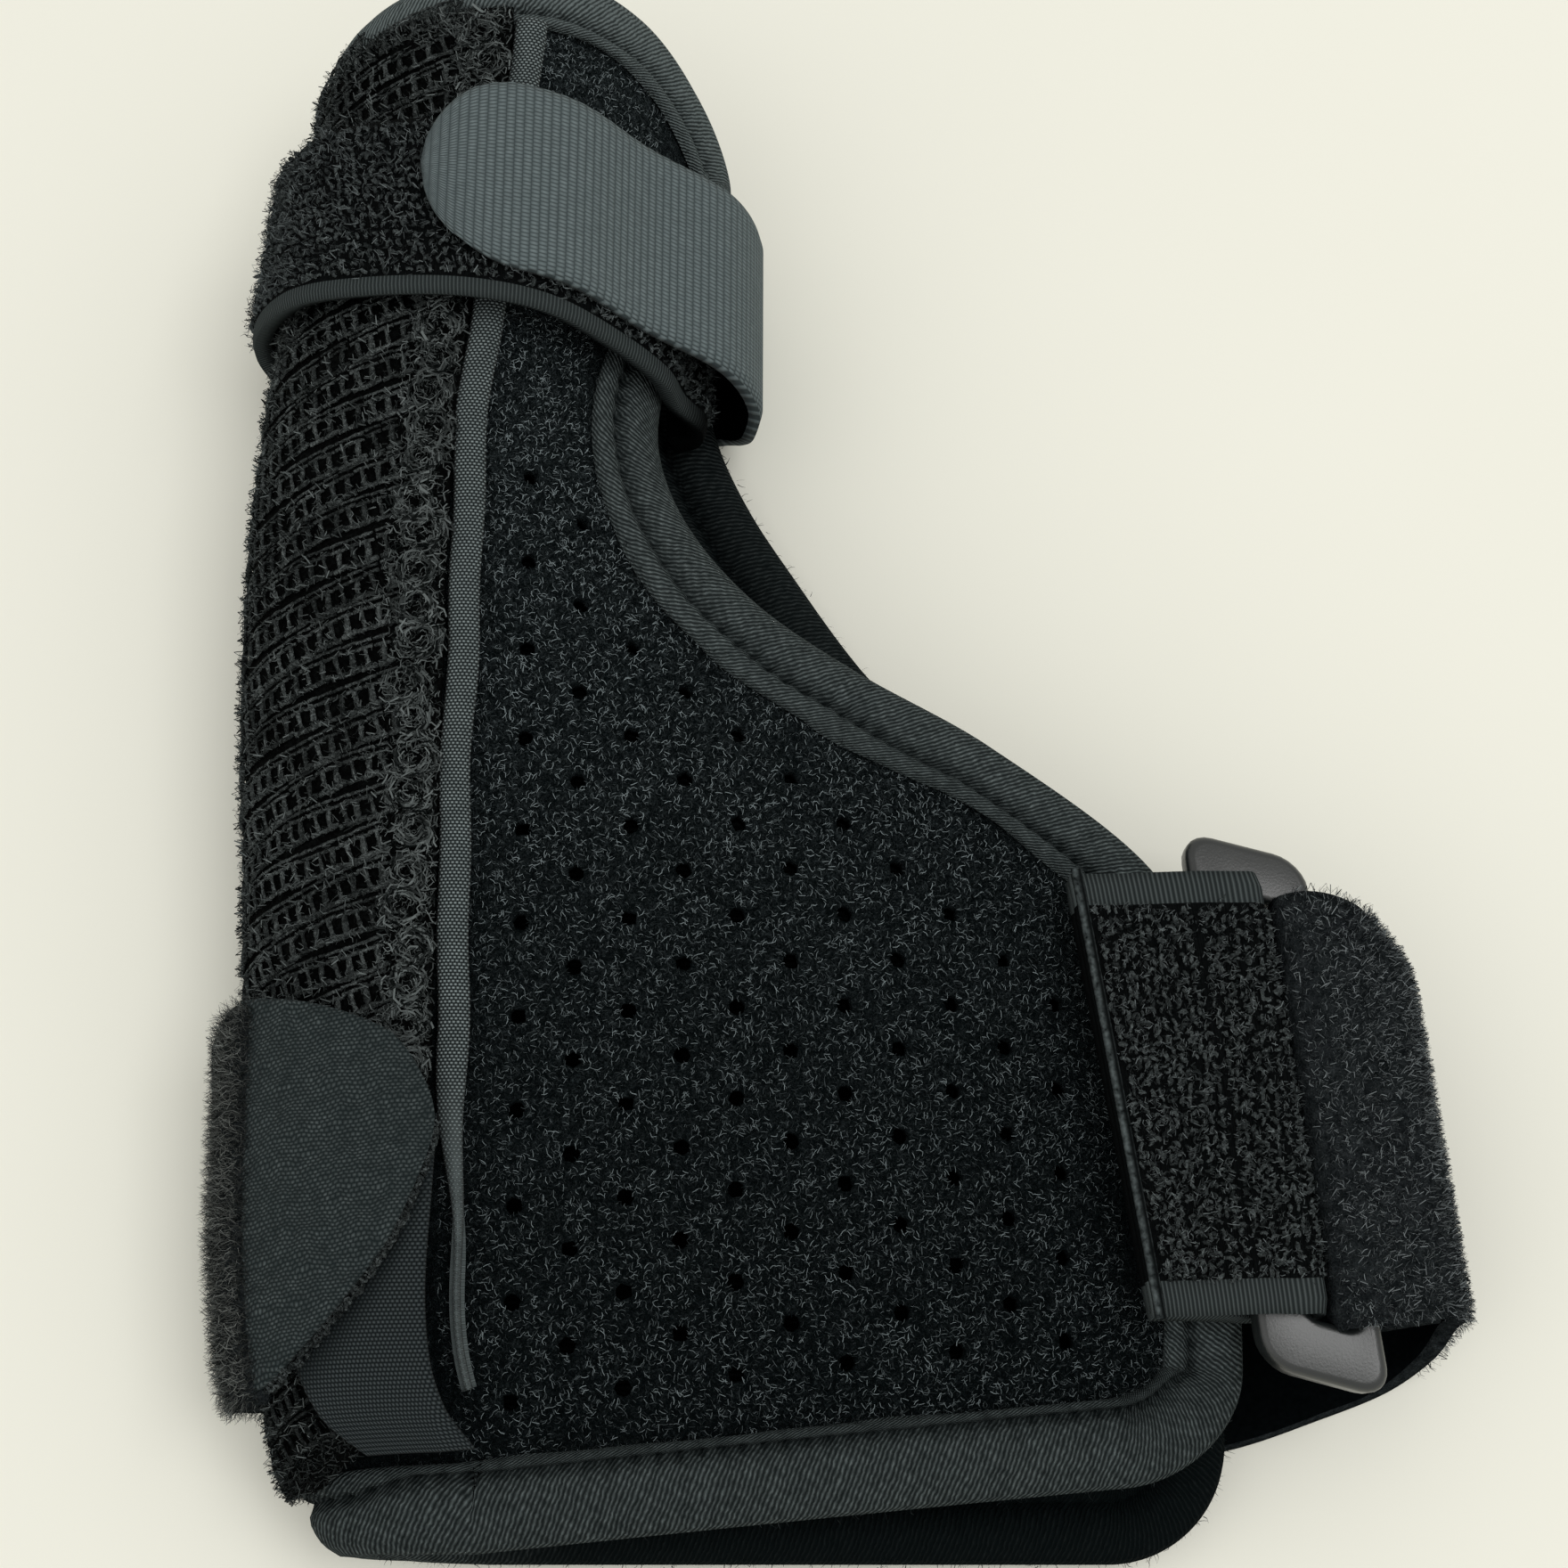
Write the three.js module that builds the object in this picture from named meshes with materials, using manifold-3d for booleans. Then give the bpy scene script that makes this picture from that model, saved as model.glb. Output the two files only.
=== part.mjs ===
// A wrist and thumb splint lying on its back leaf, with both straps closed as in use.
// Millimetres: +X runs across the hand, +Y towards the thumb tip, +Z up from the table.
import * as THREE from "three";
import { ParametricGeometry } from "three/addons/geometries/ParametricGeometry.js";
import { mergeGeometries, mergeVertices } from "three/addons/utils/BufferGeometryUtils.js";
import Module from "manifold-3d";

const wasm = await Module();
wasm.setup();

// The point of the table that lies under the middle of the whole outline.
const MIDDLE = { x: 4.82, y: -0.67 };

// Cloth thicknesses and the clearance between stitched layers.
const GAP = 0.3;
const BODY_WALL = 3.0;
const BINDING_TAPE = 1.0;
const POCKET_GAP = 0.4;
const POCKET_KNIT = 2.2;
const BINDING_GAP = 0.7;
const STRAP_WEBBING = 2.0;
const TAB_WEBBING = 1.4;

// Ends of the body along the fold, and the radius that rounds the corners of both leaves.
const WRIST_END = -88;
const THUMB_END = 87;
const CORNER = 11;
const CROWN = 2.2;

// Sections across the body, from the wrist end to the thumb end.
// left: fold, peak: highest line, front and back: free edges of the leaves, floor: back leaf's
// underside, rise and tuck: how far the front and back edges are set on along the fold.
const SECTION_COLUMNS = ["y", "left", "peak", "height", "front", "frontZ", "back", "floor", "rise", "tuck"];
const SECTIONS = [
  [-88, -46.0, -31.5, 20.0, 46.6, 12.5, 45.5, 3.0, 8, 0],
  [-80, -50.5, -34.0, 22.0, 47.2, 13.0, 45.8, 4.2, 7, 0],
  [-70, -53.5, -36.5, 24.0, 47.4, 13.8, 45.8, 4.4, 5, 0],
  [-50, -55.8, -37.0, 26.0, 47.4, 14.4, 45.5, 4.4, 2, 0],
  [-30, -57.0, -37.0, 28.0, 45.2, 15.3, 42.0, 4.4, 0, 0],
  [-17, -57.8, -37.0, 29.5, 39.8, 17.4, 33.0, 3.2, 0, 0],
  [-4, -58.9, -37.0, 31.0, 21.8, 21.5, 21.0, 2.4, 0, 0],
  [4, -59.2, -36.9, 32.0, 7.4, 23.2, 14.5, 2.4, 0, 0],
  [12, -59.3, -36.9, 33.0, -3.9, 24.0, 8.6, 2.4, 0, 0],
  [22, -59.2, -36.8, 34.0, -12.1, 24.0, 2.6, 2.6, 0, 0],
  [33, -58.6, -36.2, 35.0, -15.9, 22.8, -2.8, 3.0, 0, 0],
  [45, -57.3, -35.0, 36.0, -15.0, 19.8, -7.6, 4.4, 0, 0],
  [60, -55.8, -33.2, 36.8, -11.6, 16.2, -9.8, 4.4, -2, -1],
  [75, -54.4, -31.8, 36.8, -8.2, 13.2, -10.6, 4.4, -4, -5],
  [87, -53.2, -31.2, 36.2, -7.2, 12.4, -11.0, 4.4, -7, -10],
].map((row) => Object.fromEntries(SECTION_COLUMNS.map((name, i) => [name, row[i]])));

// Mesh of the body: rows along the fold, columns over the front leaf, the fold and the back leaf.
const CORNER_ROWS = 4;
const MIDDLE_ROWS = 18;
const FRONT_COLUMNS = 8;
const FOLD_COLUMNS = 8;
const BACK_COLUMNS = 4;

// Vent holes of the front leaf, in a slanting lattice.
const HOLE_RADIUS = 0.9;
const HOLE_COLUMN_PITCH = 5.76;
const HOLE_ROW_PITCH = 10.0;
const HOLE_COLUMN_SHIFT = -4.7;
const HOLE_START = { x: -28, y: -75.3 };
const HOLE_MARGIN = 11;

// Binding tape: how far its two lips reach in from the edge.
const BINDING_LIP = 7.5;

// Ribbed cover of the fold.
const POCKET = { wristEnd: -79, thumbEnd: 75, front: 1, back: 1.75, columns: 6 };
const POCKET_RIB = { pitch: 4.5, height: 0.45 };

const POCKET_TOP = POCKET_GAP + POCKET_KNIT + POCKET_RIB.height;

// Narrow tape on the pocket's front edge; it leans off the fold and turns on edge at the wrist.
const SEAM_TAPE = { wristEnd: -77, thumbEnd: 77.5, width: 3.4, thick: 1.8 };
const SEAM_TAPE_END = { width: 1.4, thick: 2.8, lean: 3.8 };

// Wide tape over the wrist end of the pocket, between two lines round the fold.
const HEM_TAPE = [
  { y: -79, right: 0.962, left: 1.13 },
  { y: -75, right: 0.985, left: 1.2 },
  { y: -66, right: 0.995, left: 1.25 },
  { y: -54, right: 0.995, left: 1.27 },
];
const HEM_TAPE_THICK = 0.9;

// Thumb strap: width, and the slant of its loop across the thumb.
const THUMB_STRAP = { bandWidth: 22.5, tabWidth: 23.5, middleX: -31, middleY: 56, slant: -0.18, level: 12 };

// Plastic ring: outer size, slot between its two bars, and how it lies.
const RING = { width: 13.6, length: 62.5, thick: 3.5, edge: 0.6, leftBar: 5.2, slot: 5.6, slotLength: 53 };
const RING_AT = { x: 53.2, y: -44.8, z: 21.6, turn: 6.1, lean: 0.065 };

// Wrist strap and its closing tab.
const WRIST_STRAP_WIDTH = 46;
const RING_TAB = { width: 47, thick: 1.8, offMiddle: 2.4, seam: -18.4, drift: -0.08, slant: 0.05 };
const WRIST_TAB = { start: 1.515, tip: 0.99, rows: 12, columns: 6 };
const WRIST_TAB_EDGES = { top: -31.5, bottom: -75, tipTop: -42, tipBottom: -46 };

function lerp(a, b, t) {
  return a + (b - a) * t;
}

function smooth(t) {
  const c = THREE.MathUtils.clamp(t, 0, 1);
  return c * c * (3 - 2 * c);
}

// One column of a table at station y, smoothly between its rows.
function tableValue(rows, column, y) {
  const last = rows.length - 1;
  let i = 0;
  while (i < last - 1 && rows[i + 1].y < y) {
    i += 1;
  }
  const slope = (k) => {
    const p = rows[Math.max(k - 1, 0)];
    const q = rows[Math.min(k + 1, last)];
    return (q[column] - p[column]) / (q.y - p.y);
  };
  const span = rows[i + 1].y - rows[i].y;
  const t = (y - rows[i].y) / span;
  const a = rows[i][column];
  const b = rows[i + 1][column];
  const bend = (1 - t) * slope(i) * span - t * slope(i + 1) * span + (2 * t - 1) * (b - a);
  return lerp(a, b, t) + t * (1 - t) * bend;
}

// The body's outer face: u runs 0 to 1 over the front leaf, 1 to 2 round the fold and
// 2 to 3 under the back leaf.
function outerFace(u, y) {
  const at = (column) => tableValue(SECTIONS, column, y);
  const peak = at("peak");
  const height = at("height");
  const floor = at("floor");
  if (u <= 1) {
    const drop = (height - at("frontZ")) * Math.pow(1 - u, CROWN);
    const set = at("rise") * Math.pow(1 - u, y < 0 ? 1 : 2.4);
    return new THREE.Vector3(lerp(at("front"), peak, u), y + set, height - drop);
  }
  if (u <= 2) {
    const angle = Math.PI * (u - 0.5);
    const x = peak + (peak - at("left")) * Math.cos(angle);
    const z = (height + floor) / 2 + ((height - floor) / 2) * Math.sin(angle);
    return new THREE.Vector3(x, y + at("tuck") * Math.sin((Math.PI / 2) * (u - 1)) ** 2, z);
  }
  return new THREE.Vector3(lerp(peak, at("back"), u - 2), y + at("tuck"), floor);
}

function faceTangents(u, y) {
  const step = 0.01;
  const across = outerFace(u + step, y).sub(outerFace(u - step, y)).divideScalar(2 * step);
  const along = outerFace(u, y + step).sub(outerFace(u, y - step)).divideScalar(2 * step);
  return { across, along };
}

function faceNormal(u, y) {
  const { across, along } = faceTangents(u, y);
  return along.cross(across).normalize();
}

// A point at a height over the outer face; negative heights lie inside the wall.
function overFace(u, y, height) {
  return outerFace(u, y).addScaledVector(faceNormal(u, y), height);
}

// How far a rounded corner takes the free edge in at station y.
function cornerCut(y) {
  const fromEnd = Math.min(y - WRIST_END, THUMB_END - y);
  if (fromEnd >= CORNER) {
    return 0;
  }
  const rest = CORNER - Math.max(fromEnd, 0);
  return CORNER - Math.sqrt(CORNER * CORNER - rest * rest);
}

function frontEdge(y) {
  return cornerCut(y) / (tableValue(SECTIONS, "front", y) - tableValue(SECTIONS, "peak", y));
}

function backEdge(y) {
  return 3 - cornerCut(y) / (tableValue(SECTIONS, "back", y) - tableValue(SECTIONS, "peak", y));
}

// Rows of the body mesh, closer together where the corners turn.
function bodyRows() {
  const rows = [];
  for (let i = 0; i < CORNER_ROWS; i += 1) {
    rows.push(WRIST_END + CORNER * (1 - Math.cos((Math.PI / 2) * (i / CORNER_ROWS))));
  }
  for (let i = 0; i <= MIDDLE_ROWS; i += 1) {
    rows.push(lerp(WRIST_END + CORNER, THUMB_END - CORNER, i / MIDDLE_ROWS));
  }
  for (let i = CORNER_ROWS - 1; i >= 0; i -= 1) {
    rows.push(THUMB_END - CORNER * (1 - Math.cos((Math.PI / 2) * (i / CORNER_ROWS))));
  }
  return rows;
}

// Columns of the body mesh at station y, from the front edge round to the back edge.
function bodyColumns(y) {
  const columns = [];
  for (let i = 0; i < FRONT_COLUMNS; i += 1) {
    columns.push(lerp(frontEdge(y), 1, i / FRONT_COLUMNS));
  }
  for (let i = 0; i < FOLD_COLUMNS; i += 1) {
    columns.push(1 + i / FOLD_COLUMNS);
  }
  for (let i = 0; i <= BACK_COLUMNS; i += 1) {
    columns.push(lerp(2, backEdge(y), i / BACK_COLUMNS));
  }
  return columns;
}

// A clean closed solid from a geometry: shared vertices, no collapsed triangles, faces outwards.
function solidFrom(geometry) {
  geometry.deleteAttribute("normal");
  geometry.deleteAttribute("uv");
  const merged = mergeVertices(geometry, 1e-3);
  const corners = merged.index.array;
  const kept = [];
  for (let i = 0; i < corners.length; i += 3) {
    const [a, b, c] = [corners[i], corners[i + 1], corners[i + 2]];
    if (a !== b && b !== c && c !== a) {
      kept.push(a, b, c);
    }
  }
  const vertProperties = new Float32Array(merged.attributes.position.array);
  const make = (list) => {
    const triVerts = new Uint32Array(list);
    return new wasm.Manifold(new wasm.Mesh({ numProp: 3, vertProperties, triVerts }));
  };
  const solid = make(kept);
  if (solid.volume() > 0) {
    return solid;
  }
  return make(kept.reverse());
}

function geometryFrom(solid) {
  const mesh = solid.getMesh();
  const geometry = new THREE.BufferGeometry();
  geometry.setAttribute("position", new THREE.BufferAttribute(new Float32Array(mesh.vertProperties), 3));
  geometry.setIndex(new THREE.BufferAttribute(new Uint32Array(mesh.triVerts), 1));
  return geometry;
}

// A sheet of cloth as a closed solid: point(i, j, side) gives its outer face for side 1 and its
// inner face for side 0. The section of the wall is swept row by row, and each end is closed onto
// the middle of the wall.
function clothSolid(columns, rows, point) {
  const ring = 2 * (columns + 1);
  const sweep = (s, t, target) => {
    const k = Math.round(s * ring) % ring;
    const step = Math.round(t * (rows + 2)) - 1;
    const j = THREE.MathUtils.clamp(step, 0, rows);
    const i = k <= columns ? k : ring - 1 - k;
    if (step === j) {
      target.copy(point(i, j, k <= columns ? 1 : 0));
    } else {
      target.lerpVectors(point(i, j, 1), point(i, j, 0), 0.5);
    }
  };
  return solidFrom(new ParametricGeometry(sweep, ring, rows + 2));
}

// A strap of even width along a route of middle points; settle moves its points onto what lies below.
function strapSolid(route, steps, width, thick, widthAt, columns = 1, settle = (place) => place) {
  const curve = new THREE.CatmullRomCurve3(route, false, "centripetal");
  const places = curve.getSpacedPoints(steps);
  return clothSolid(columns, steps, (i, j, side) => {
    const before = places[Math.max(j - 1, 0)];
    const after = places[Math.min(j + 1, steps)];
    const across = widthAt(places[j]);
    const normal = after.clone().sub(before).cross(across).normalize();
    const place = places[j].clone().addScaledVector(across, (i / columns - 0.5) * width);
    settle(place.addScaledVector(normal, (side - 0.5) * thick));
    place.z = Math.max(place.z, 0);
    return place;
  });
}

// Body: the perforated sheet folded into two leaves.
function bodyShell() {
  const rows = bodyRows();
  const grid = rows.map((y) => bodyColumns(y));
  const sheet = clothSolid(grid[0].length - 1, rows.length - 1, (i, j, side) => {
    return overFace(grid[j][i], rows[j], (side - 1) * BODY_WALL);
  });
  const pins = [];
  for (let k = 0; k < 14; k += 1) {
    for (let m = 0; m < 18; m += 1) {
      const x = HOLE_START.x + k * HOLE_COLUMN_PITCH;
      const y = HOLE_START.y + m * HOLE_ROW_PITCH + k * HOLE_COLUMN_SHIFT;
      const u = holeColumn(x, y);
      if (u !== null) {
        const pin = new THREE.CylinderGeometry(HOLE_RADIUS, HOLE_RADIUS, 4 * BODY_WALL, 4);
        const upright = new THREE.Quaternion();
        upright.setFromUnitVectors(new THREE.Vector3(0, 1, 0), faceNormal(u, y));
        pin.applyQuaternion(upright);
        pin.translate(...overFace(u, y, -BODY_WALL / 2).toArray());
        pins.push(pin);
      }
    }
  }
  return sheet.subtract(solidFrom(mergeGeometries(pins)));
}

// Column of a vent hole on the front leaf, or null where the edge or the ring's strap is too near.
function holeColumn(x, y) {
  if (y < WRIST_END + HOLE_MARGIN || y > 34) {
    return null;
  }
  for (const near of [-HOLE_MARGIN, 0, HOLE_MARGIN]) {
    const front = tableValue(SECTIONS, "front", Math.max(y + near, WRIST_END));
    if (x > front - HOLE_MARGIN + Math.abs(near) / 2) {
      return null;
    }
  }
  if (y < -12 && x > 33) {
    return null;
  }
  const front = tableValue(SECTIONS, "front", y);
  const peak = tableValue(SECTIONS, "peak", y);
  return x < peak + 6 ? null : (front - x) / (front - peak);
}

// Binding: a tape folded over the edge of the body, once round both leaves.
function edgeBinding() {
  const rows = bodyRows();
  const stations = [];
  rows.forEach((y) => stations.push({ u: frontEdge(y), y }));
  bodyColumns(THUMB_END).slice(1).forEach((u) => stations.push({ u, y: THUMB_END }));
  rows.slice(0, -1).reverse().forEach((y) => stations.push({ u: backEdge(y), y }));
  bodyColumns(WRIST_END).slice(1, -1).reverse().forEach((u) => stations.push({ u, y: WRIST_END }));
  const count = stations.length;
  const places = stations.map(({ u, y }) => outerFace(u, y));
  const inner = BINDING_GAP;
  const outer = BINDING_GAP + BINDING_TAPE;
  const sections = stations.map(({ u, y }, k) => {
    const travel = places[(k + 1) % count].clone().sub(places[(k + count - 1) % count]).normalize();
    const normal = faceNormal(u, y);
    const away = travel.clone().cross(normal).normalize();
    const { across, along } = faceTangents(u, y);
    const [aa, ab, bb] = [across.dot(across), across.dot(along), along.dot(along)];
    const [ra, rb] = [-across.dot(away), -along.dot(away)];
    const det = aa * bb - ab * ab;
    const du = (ra * bb - rb * ab) / det;
    const dy = (rb * aa - ra * ab) / det;
    const ease = GAP + (u > 1 && u < 2 ? 2 * GAP * Math.sin(Math.PI * (u - 1)) : 0);
    const lip = (reach, height) => overFace(u + du * reach, y + dy * reach, height);
    const rim = (out, height) => {
      return places[k].clone().addScaledVector(away, out).addScaledVector(normal, height);
    };
    return [
      lip(BINDING_LIP, outer + ease),
      lip(0.8, outer),
      rim(outer, -0.25 * BODY_WALL),
      rim(outer, -0.75 * BODY_WALL),
      lip(0.8, -BODY_WALL - outer),
      lip(BINDING_LIP, -BODY_WALL - outer - ease),
      lip(BINDING_LIP, -BODY_WALL - inner - ease),
      rim(inner, -BODY_WALL - inner),
      rim(inner, inner),
      lip(BINDING_LIP, inner + ease),
    ];
  });
  const turns = sections[0].length;
  const sweep = (s, t, target) => {
    const section = sections[Math.round(t * count) % count];
    target.copy(section[Math.round(s * turns) % turns]);
  };
  return solidFrom(new ParametricGeometry(sweep, turns, count));
}

// Pocket: ribbed knit over the fold.
function stayPocket() {
  const ribs = Math.round((POCKET.thumbEnd - POCKET.wristEnd) / POCKET_RIB.pitch);
  const rows = 2 * ribs;
  return clothSolid(POCKET.columns, rows, (i, j, side) => {
    const u = lerp(POCKET.front, POCKET.back, i / POCKET.columns);
    const y = lerp(POCKET.wristEnd, POCKET.thumbEnd, j / rows);
    const edge = i === 0 || i === POCKET.columns ? 0.4 : 1;
    const rib = (j % 2) * POCKET_RIB.height * edge;
    return overFace(u, y, POCKET_GAP + side * (POCKET_KNIT + rib));
  });
}

// Seam tape: narrow tape that closes the pocket's front edge.
function seamTape() {
  const rows = 26;
  return clothSolid(2, rows, (i, j, side) => {
    const y = lerp(SEAM_TAPE.wristEnd, SEAM_TAPE.thumbEnd, j / rows);
    const end = smooth((-50 - y) / 26);
    const width = lerp(SEAM_TAPE.width, SEAM_TAPE_END.width, end);
    const thick = lerp(SEAM_TAPE.thick, SEAM_TAPE_END.thick, end) * (i === 1 ? 1 : 0.75);
    const offPeak = 0.3 + SEAM_TAPE_END.lean * end + width * (1 - i / 2);
    const span = tableValue(SECTIONS, "front", y) - tableValue(SECTIONS, "peak", y);
    return overFace(1 - offPeak / span, y, GAP + side * thick);
  });
}

// Hem tape: wide tape laid over the wrist end of the pocket.
function hemTape() {
  const rows = 10;
  const columns = 4;
  const under = POCKET_TOP + GAP;
  return clothSolid(columns, rows, (i, j, side) => {
    const y = lerp(HEM_TAPE[0].y, HEM_TAPE[HEM_TAPE.length - 1].y, j / rows);
    const right = tableValue(HEM_TAPE, "right", y);
    const left = tableValue(HEM_TAPE, "left", y);
    return overFace(lerp(right, left, i / columns), y, under + side * HEM_TAPE_THICK);
  });
}

// Thumb strap routes lie in a slanting plane across the thumb.
function onThumb(x, z) {
  const slant = THUMB_STRAP.slant * smooth(z / THUMB_STRAP.level);
  return new THREE.Vector3(x, THUMB_STRAP.middleY + slant * (x - THUMB_STRAP.middleX), z);
}

function roundThumb(u, height) {
  const place = overFace(u, 50, height);
  return onThumb(place.x, place.z);
}

const alongThumb = () => new THREE.Vector3(0, 1, 0);

// Thumb band: looped strap from the front edge over the fold and under the tube.
function thumbBand() {
  const over = POCKET_TOP + 2.5 * GAP + STRAP_WEBBING / 2;
  const route = [
    roundThumb(0.08, over),
    roundThumb(0.4, over - 0.2),
    roundThumb(0.7, over),
    roundThumb(1, over),
    roundThumb(1.15, over),
    roundThumb(1.3, over),
    roundThumb(1.5, over),
    roundThumb(1.68, over),
    onThumb(-49.5, 2.3),
    onThumb(-43, STRAP_WEBBING / 2),
    onThumb(-36, STRAP_WEBBING / 2),
    onThumb(-27, STRAP_WEBBING / 2),
    onThumb(-17, STRAP_WEBBING / 2),
  ];
  const foldAt = tableValue(SECTIONS, "left", 50);
  return strapSolid(route, 32, THUMB_STRAP.bandWidth, STRAP_WEBBING, alongThumb, 2, (place) => {
    place.x += (tableValue(SECTIONS, "left", place.y) - foldAt) * smooth((-38 - place.x) / 12);
    return place;
  });
}

// Thumb tab: from the band's end under the tube, round the open side and over the top to a rounded tip.
function thumbTab() {
  const over = POCKET_TOP + 4.5 * GAP + STRAP_WEBBING + TAB_WEBBING / 2;
  const half = TAB_WEBBING / 2;
  const route = [
    onThumb(-16.5, half),
    onThumb(-12, half),
    onThumb(-8.2, half),
    onThumb(-4.5, 2.4),
    onThumb(-3.6, 6),
    onThumb(-3.2, 13),
    onThumb(-3.2, 20),
    onThumb(-6.4, 28),
    roundThumb(0.35, over),
    roundThumb(0.65, over),
    roundThumb(1, over),
    roundThumb(1.05, over),
    roundThumb(1.1, over),
  ];
  const curve = new THREE.CatmullRomCurve3(route, false, "centripetal");
  const steps = 44;
  const length = curve.getLength();
  const radius = THUMB_STRAP.tabWidth / 2;
  const places = [];
  const widths = [];
  for (let j = 0; j <= steps; j += 1) {
    const turn = Math.max(0, (j - 36) / (steps - 36)) * 1.45;
    const at = j <= 36 ? ((length - radius) * j) / 36 : length - radius + radius * Math.sin(turn);
    places.push(curve.getPointAt(Math.min(at / length, 1)));
    widths.push(THUMB_STRAP.tabWidth * Math.cos(turn));
  }
  return clothSolid(1, steps, (i, j, side) => {
    const before = places[Math.max(j - 1, 0)];
    const after = places[Math.min(j + 1, steps)];
    const normal = after.clone().sub(before).normalize().cross(alongThumb()).normalize();
    const place = places[j].clone().addScaledVector(alongThumb(), (i - 0.5) * widths[j]);
    place.addScaledVector(normal, (side - 0.5) * TAB_WEBBING);
    place.z = Math.max(place.z, 0);
    return place;
  });
}

// A point beside the ring: p across its bars and z up, both from the ring's middle.
function besideRing(p, z, along = 0) {
  const turn = THREE.MathUtils.degToRad(RING_AT.turn);
  const x = RING_AT.x + p * Math.cos(turn) - along * Math.sin(turn);
  return new THREE.Vector3(x, RING_AT.y + p * Math.sin(turn) + along * Math.cos(turn), RING_AT.z + z);
}

function alongRing() {
  return besideRing(0, 0, 1).sub(besideRing(0, 0));
}

// Middle points of a strap of some thickness round the slot side of a bar; side is 1 to the bar's right.
function roundBar(edge, side, thick, along) {
  const off = GAP + 0.35 + thick / 2;
  const flat = RING.thick / 2 - RING.edge;
  const curl = RING.edge + off;
  const points = [];
  for (const angle of [-90, -45, -1, 1, 45, 90]) {
    const a = THREE.MathUtils.degToRad(angle);
    const p = edge - side * RING.edge + side * curl * Math.cos(a);
    const z = Math.sign(angle) * flat + curl * Math.sin(a);
    points.push(besideRing(p, z, along));
  }
  return points;
}

// The ring and its straps rise towards the thumb with the front leaf under them.
function leanWithRing(place) {
  place.z += RING_AT.lean * (place.y - RING_AT.y) * smooth((place.z - 4) / 10);
  return place;
}

// Ring: a flat plastic loop with one slot.
function ringSolid() {
  const outline = roundedBox(-RING.width / 2, -RING.length / 2, RING.width, RING.length, 3.2);
  const slotLeft = -RING.width / 2 + RING.leftBar;
  outline.holes.push(roundedBox(slotLeft, -RING.slotLength / 2, RING.slot, RING.slotLength, 1.2));
  const depth = RING.thick - 2 * RING.edge;
  const bevel = { bevelThickness: RING.edge, bevelSize: RING.edge, bevelOffset: -RING.edge };
  const loop = new THREE.ExtrudeGeometry(outline, { depth, curveSegments: 4, bevelSegments: 1, ...bevel });
  loop.translate(0, 0, -depth / 2);
  loop.rotateX(Math.atan(RING_AT.lean));
  loop.rotateZ(THREE.MathUtils.degToRad(RING_AT.turn));
  loop.translate(RING_AT.x, RING_AT.y, RING_AT.z);
  return solidFrom(loop);
}

function roundedBox(x, y, width, length, radius) {
  const shape = new THREE.Shape();
  shape.absarc(x + width - radius, y + radius, radius, -Math.PI / 2, 0);
  shape.absarc(x + width - radius, y + length - radius, radius, 0, Math.PI / 2);
  shape.absarc(x + radius, y + length - radius, radius, Math.PI / 2, Math.PI);
  shape.absarc(x + radius, y + radius, radius, Math.PI, 1.5 * Math.PI);
  return shape;
}

// Ring tab: doubled strap from the seam on the front leaf, round the ring's wide bar.
function ringTab() {
  const barRight = -RING.width / 2 + RING.leftBar;
  const turn = roundBar(barRight, 1, RING_TAB.thick, RING_TAB.offMiddle);
  const at = (p, z) => besideRing(p, z, RING_TAB.offMiddle + RING_TAB.drift * p);
  const route = [
    at(RING_TAB.seam, 1.1),
    at(-14, 0.2),
    at(-10, -1.3),
    at(-7.2, -3.1),
    at(-4.6, -3.3),
    ...turn,
    at(-4.6, 3.2),
    at(-8, 3.2),
    at(-14, 3.0),
    at(RING_TAB.seam, 3.3),
  ];
  return strapSolid(route, 38, RING_TAB.width, RING_TAB.thick, alongRing, 1, (place) => {
    place.x -= RING_TAB.slant * (place.y - RING_AT.y) * smooth((RING_AT.x - place.x) / 18);
    return leanWithRing(place);
  });
}

// Wrist strap: looped round the ring's narrow bar, out to the side, under the back leaf and up the fold.
function wristStrap() {
  const barLeft = RING.leftBar + RING.slot - RING.width / 2;
  const half = STRAP_WEBBING / 2;
  const route = [
    besideRing(13, -0.5),
    besideRing(10.2, -1.2),
    besideRing(7.6, -2.9),
    ...roundBar(barLeft, -1, STRAP_WEBBING),
    besideRing(9, 3.1),
    besideRing(13, 2),
    besideRing(15.7, -2.6),
    besideRing(16.4, -9),
    besideRing(14.8, -16.2),
    besideRing(10.5, -20.1),
    new THREE.Vector3(57, -47.2, half),
    new THREE.Vector3(45, -52.6, half),
    new THREE.Vector3(25, -54, half),
    new THREE.Vector3(-10, -53.4, half),
    new THREE.Vector3(-40, -52.6, half),
    new THREE.Vector3(-51, -52.6, 1.4),
    new THREE.Vector3(-58.3, -52.6, 6.6),
    new THREE.Vector3(-60.9, -52.6, 13.5),
  ];
  const straight = new THREE.Vector3(0, 1, 0);
  const widthAt = (place) => straight.clone().lerp(alongRing(), smooth((place.x - 30) / 30)).normalize();
  const foldAt = tableValue(SECTIONS, "left", -52.6);
  return strapSolid(route, 56, WRIST_STRAP_WIDTH, STRAP_WEBBING, widthAt, 2, (place) => {
    place.x += (tableValue(SECTIONS, "left", place.y) - foldAt) * smooth((-38 - place.x) / 12);
    return leanWithRing(place);
  });
}

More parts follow.
